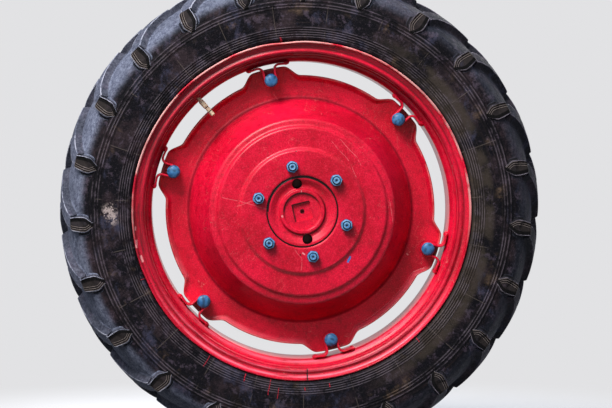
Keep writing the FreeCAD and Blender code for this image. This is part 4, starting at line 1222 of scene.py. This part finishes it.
def clamp_bolt_grid(seed):
    """Round head bolt at the top of the wheel: the dome is a quarter of an ellipse."""
    turn = np.linspace(0, math.pi / 2, 22)[:-1]
    dome = np.stack([HEAD_R * np.cos(turn) ** 0.9, HEAD_STATION + 0.0015 + (HEAD_H - 0.0015) * np.sin(turn)],
                    axis=1)
    under = np.array([(BOLT_R, HEAD_STATION), (HEAD_R - 0.0006, HEAD_STATION), (HEAD_R, HEAD_STATION + 0.0006)])
    shank = np.array([(0.0004, BOLT_BACK), (BOLT_R - 0.0015, BOLT_BACK), (BOLT_R, BOLT_BACK + 0.0015),
                      (BOLT_R, HEAD_STATION - 0.001)])
    tip = np.array([(0.0004, HEAD_STATION + HEAD_H)])
    grid = lathe_at(np.concatenate([shank, under, dome, tip]), (0, CLAMP_R))
    front = smooth((-grid[..., 1] - HEAD_STATION) / 0.004)
    grid[..., 1] += front * 0.0005 * (1 + waves(grid, 0.016, seed))
    return grid


for k, angle in enumerate(arm_angles):
    turned = spin(clamp_bolt_grid(20 + k), angle - math.pi / 2)
    blots = smooth(waves(turned, 0.012, 60 + k) * 2.5) * 0.55 + 0.16
    bolt = piece(f"clamp_bolt_head_{k + 1}", turned, wrap_rows=False, marks={"grime": blots})
    dress(bolt, blue, "bolt_blue", "wheel", f"clamp_bolt_{k + 1}")

# %% [markdown]
# ## Hub nuts and studs
# A hexagon nut is where a lathe's cone and six planes meet. As a surface, its radius at each
# point is the smaller of the two, and a soft minimum rounds the edges as thick paint does. The
# stud's end shows a few turns of thread, which are a ridge that climbs as it goes round.

# %% Hub nuts and studs
NUT_FLATS = 0.024
NUT_BACK = -nut_high.y
NUT_FRONT = -nut_low.y
STUD_END = -stud_low.y
STUD_BACK = -stud_high.y
STUD_HALF = 0.008
THREAD_PITCH = 0.0015


def soft_least(a, b, blur):
    """Minimum of two arrays with a rounded corner: half of a + b - sqrt((a - b)^2 + blur^2)."""
    return (a + b - np.sqrt((a - b) ** 2 + blur ** 2)) / 2


def hub_nut_grid(turn):
    """Hexagon nut with a round washer face, at the top of the wheel."""
    angles = np.arange(120) * math.tau / 120
    corner = NUT_FLATS / math.sqrt(3)
    away = (angles - turn) % (math.pi / 3) - math.pi / 6
    hexagon = NUT_FLATS / 2 / np.cos(away)
    profile = along(rounded_path([
        (STUD_HALF + 0.0001, NUT_FRONT - 0.0008, 0), (STUD_HALF + 0.0010, NUT_FRONT, 0.0004),
        (corner - 0.0029, NUT_FRONT, 0.0006), (corner + 0.0006, NUT_FRONT - 0.0024, 0.0006),
        (corner + 0.0006, NUT_BACK + 0.0036, 0)], 0.0002), 32)
    limit = profile[:, :1]
    radius = np.where(limit < corner - 0.0032, limit, soft_least(limit, hexagon[None, :], 0.0005))
    station = np.repeat(profile[:, 1:], len(angles), axis=1)
    washer = np.array([(NUT_FLATS / 2 + 0.0008, NUT_BACK + 0.0024), (NUT_FLATS / 2 + 0.0012, NUT_BACK + 0.0018),
                       (NUT_FLATS / 2 + 0.0012, NUT_BACK), (STUD_HALF + 0.0001, NUT_BACK)])
    washer = np.repeat(washer[:, None], len(angles), axis=1)
    grid = np.concatenate([np.stack([radius, station], axis=-1), washer])
    out, front = grid[..., 0], grid[..., 1]
    # Painted shade in the crevice round the stud and along the nut's back against the disc
    near_stud = smooth((STUD_HALF + 0.0019 - out) / 0.0010)
    grime = near_stud + smooth((NUT_BACK + 0.0042 - front) / 0.0016)
    # Pale line on the nut's front edge, partly wear and partly painted highlight
    edge = hump(out - (corner - 0.0030), 0.0007) * (front > NUT_FRONT - 0.001)
    marks = {"grime": np.clip(grime, 0, 1), "worn": np.clip(edge, 0, 1)}
    return round_axle(grid, angles) + np.array((0, 0, STUD_R)), marks


def hub_stud_grid():
    """Stud with a head behind the flange and thread on its outer end."""
    head = np.array([(0.0004, STUD_BACK), (0.0122, STUD_BACK), (0.013, STUD_BACK + 0.0008),
                     (0.013, STUD_BACK + 0.006), (STUD_HALF, STUD_BACK + 0.006), (STUD_HALF, NUT_BACK)])
    station = np.linspace(NUT_FRONT - 0.001, STUD_END - 0.0009, 26)
    thread = np.stack([np.full_like(station, STUD_HALF - 0.0006), station], axis=1)
    tip = np.array([(STUD_HALF - 0.0016, STUD_END), (STUD_HALF - 0.0018, STUD_END), (0.0033, STUD_END),
                    (0.0030, STUD_END - 0.0002), (0.0020, STUD_END - 0.0016), (0.0004, STUD_END - 0.0020)])
    grid = lathe_at(np.concatenate([head, thread, tip]), (0, 0), 72)
    angles = np.arctan2(grid[..., 2], grid[..., 0])
    climb = (-grid[..., 1] / THREAD_PITCH - angles / math.tau) % 1.0
    threaded = smooth((-grid[..., 1] - NUT_FRONT) / 0.0008) * smooth((STUD_END - 0.0008 + grid[..., 1]) / 0.0006)
    scale = 1 - threaded * np.abs(climb - 0.5) * 0.0012 / STUD_HALF
    out = np.hypot(grid[..., 0], grid[..., 2])
    # Painted shade in the centre hollow of the stud's end and between its threads
    grime = smooth((0.0028 - out) / 0.0008) + threaded * (out > STUD_HALF - 0.001)
    marks = {"grime": np.clip(grime, 0, 1), "worn": hump(out - STUD_HALF + 0.0018, 0.0006)}
    grid[..., 0] *= scale
    grid[..., 2] *= scale
    return grid + np.array((0, 0, STUD_R)), marks


nut_turns = np.random.default_rng(4).uniform(0, math.pi / 3, ARMS)
stud_grid, stud_marks = hub_stud_grid()
for k, angle in enumerate(arm_angles):
    nut_grid, nut_marks = hub_nut_grid(nut_turns[k])
    nut = piece(f"hub_nut_face_{k + 1}", spin(nut_grid, angle - math.pi / 2), marks=nut_marks)
    dress(nut, blue, "bolt_blue", "wheel", f"hub_nut_{k + 1}")
    stud = piece(f"hub_stud_end_{k + 1}", spin(stud_grid, angle - math.pi / 2), wrap_rows=False,
                 marks=stud_marks)
    dress(stud, blue, "bolt_blue", "wheel", f"hub_stud_{k + 1}")

# %% [markdown]
# ## The valve
# The valve of the inner tube comes out of the well of the rim and leans outboard. It is turned
# brass under old cream paint, with two dark grooves and a rounded cap.

# %% Valve
VALVE_TURN = math.radians(132.5)
VALVE_LEAN = math.radians(14.0)
VALVE_FOOT_R, VALVE_STATION = 0.3351, 0.2464
VALVE_LINE = [
    # radius, distance along the stem, corner radius
    (0.0001, -0.008, 0), (0.0045, -0.008, 0), (0.0045, 0.0012, 0), (0.0060, 0.0014, 0.0008),
    (0.0058, 0.0180, 0.003), (0.0051, 0.0215, 0.0008), (0.0040, 0.0218, 0), (0.0040, 0.0232, 0),
    (0.0049, 0.0236, 0.0006), (0.0049, 0.0325, 0.0006), (0.0036, 0.0330, 0), (0.0036, 0.0346, 0),
    (0.0047, 0.0350, 0.0006), (0.0048, 0.0458, 0.0030), (0.0001, 0.0460, 0),
]
VALVE_GROOVES = [(0.0225, 0.0011), (0.0338, 0.0012)]


def valve_mesh():
    """The line carried round the stem's own axis, which points at the axle and a little outboard."""
    line = along(rounded_path(VALVE_LINE, 0.0002), 90)
    angles = np.arange(40) * math.tau / 40
    way = np.array((0, -math.sin(VALVE_LEAN), -math.cos(VALVE_LEAN)))
    aside = np.array((0, -math.cos(VALVE_LEAN), math.sin(VALVE_LEAN)))
    radius, run = line[:, :1, None], line[:, 1:, None]
    turn = angles[None, :, None]
    points = way * run + radius * (np.cos(turn) * np.array((1, 0, 0)) + np.sin(turn) * aside)
    foot = np.array((0, -VALVE_STATION, VALVE_FOOT_R))
    grime = sum(hump(line[:, 1] - place, width) for place, width in VALVE_GROOVES)
    marks = {"grime": np.repeat(grime[:, None], 40, axis=1)}
    return piece("valve", spin(points + foot, VALVE_TURN - math.pi / 2), wrap_rows=False, marks=marks)


valve = dress(valve_mesh(), brass, "valve_brass", "wheel", "valve_stem")

# %% [markdown]
# ## Pieces that keep their shape
# The axle shaft, housing, bearing and small hidden bolts are right as the frame has them. They
# only need a finish, put into the material slots of their meshes.

# %% Finishes for the frame's own nodes
def paint_node(name, finish):
    """Gives a CAD node one finish on all its faces and keeps its shape."""
    mesh = nodes[name].data
    mesh.materials.clear()
    mesh.materials.append(finish.material)


paint_node("axle_shaft", red)
paint_node("axle_housing", cast)
paint_node("bearing_retainer", greasy_and_shaded)
paint_node("axle_bearing", oily_and_shaded_steel)
paint_node("oil_seal", seal)
for k in range(ARMS):
    paint_node(f"retainer_bolt_{k + 1}", oily_and_shaded_steel)
    paint_node(f"clamp_nut_{k + 1}", blue)
print("finished nodes", len(nodes))

# %% [markdown]
# ## Floor and light
# The wheel was photographed outdoors under a bright sky, so its upward slopes shine and its
# lower ones are deep. A large soft lamp at the upper left does that, a weaker one in front shows
# the face, a third lights the far side, and a sky that is brightest overhead fills the rest. The
# pale background comes from the colours of the floor and the world, not from more light.

# %% Floor, world and lamps
FLOOR_SIZE = 60.0
BACKDROP = rgb(226, 226, 228)
NEAR_FLOOR, FAR_FLOOR = 0.3, 1.4


def floor_piece():
    """A large square under the tyre, as a grid of two by two points."""
    half = FLOOR_SIZE / 2
    x, y = np.meshgrid([-half, half], [-half, half])
    mesh = bpy.data.meshes.new("floor")
    corners = np.stack([x, y, np.full_like(x, cad_low.z)], axis=-1).reshape(-1, 3)
    mesh.from_pydata(corners.tolist(), [], [(0, 1, 3, 2)])
    made = bpy.data.objects.new("floor", mesh)
    bpy.context.scene.collection.objects.link(made)
    return made


def shown_rays(finish):
    """1 on rays of the camera, also after a reflection or through glass, and 0 on the rest."""
    shown = finish.node("ShaderNodeLightPath", {}, {}, "Is Camera Ray")
    for kind in ("Is Glossy Ray", "Is Transmission Ray"):
        shown = shown.most(finish.node("ShaderNodeLightPath", {}, {}, kind))
    return shown


def pale_floor():
    """Floor that is lit and shaded near the wheel and fades into the backdrop further off."""
    ground = Finish("pale_floor")
    x, y, z = ground.axes()
    seen = shown_rays(ground)
    far = (x * x + y * y).math("SQRT").ramp(NEAR_FLOOR, FAR_FLOOR)
    shade = ground.noise(3.0, 3.0).ramp(0.3, 0.7)
    pale = ground.blend(shade, rgb(228, 227, 225), rgb(234, 233, 231))
    lit = ground.blend(seen, rgb(44, 43, 42), ground.blend(far, pale, (0, 0, 0, 1)))
    glow = ground.blend(far * seen, (0, 0, 0, 1), BACKDROP)
    ground.set(Base_Color=lit, Roughness=0.9, Emission_Color=glow, Emission_Strength=1.0)
    ground.set(Specular_IOR_Level=0.0)
    return ground


floor = floor_piece()
floor.data.materials.append(pale_floor().material)

world = bpy.data.worlds.new("studio")
world.use_nodes = True
bpy.context.scene.world = world


class Surround(Finish):
    """The world's tree, used through the same short node method."""

    def __init__(self, target):
        self.tree = target.node_tree
        self.shader = self.tree.nodes["Background"]
        self.split = None
        self.place = self.node("ShaderNodeTexCoord", {}, {}, "Generated")


sky = Surround(world)
up = sky.axes()[2]
seen = shown_rays(sky)
left = sky.axes()[0] * -1.0
dome = up.ramp(0.0, 0.9) * 1.0 + left.size().ramp(0.1, 0.95) * 0.22 + left.ramp(0.1, 0.95) * 0.12 + 0.03
sky.set(Color=sky.blend(seen, rgb(214, 226, 246), BACKDROP), Strength=seen + (1.0 - seen) * dome)


def soft_lamp(name, place, target, size, watts, colour):
    """A square area lamp at a place, facing a target and hidden from the camera."""
    data = bpy.data.lights.new(name, "AREA")
    data.shape = "SQUARE"
    data.size = size
    data.energy = watts
    data.color = colour
    made = bpy.data.objects.new(name, data)
    bpy.context.scene.collection.objects.link(made)
    made.location = place
    made.rotation_euler = (Vector(target) - Vector(place)).to_track_quat("-Z", "Y").to_euler()
    made.visible_camera = False
    return made


wheel_middle = (0, -MID_STATION, 0)
soft_lamp("key", (-1.7, -2.9, 3.5), wheel_middle, 2.2, 352, (1.0, 0.97, 0.95))
soft_lamp("front", (-2.5, -6.0, 2.0), wheel_middle, 3.0, 42, (1.0, 0.98, 0.96))
soft_lamp("rear", (2.4, 4.6, 2.6), wheel_middle, 2.5, 90, (1.0, 0.98, 0.96))
print("lamps ready")
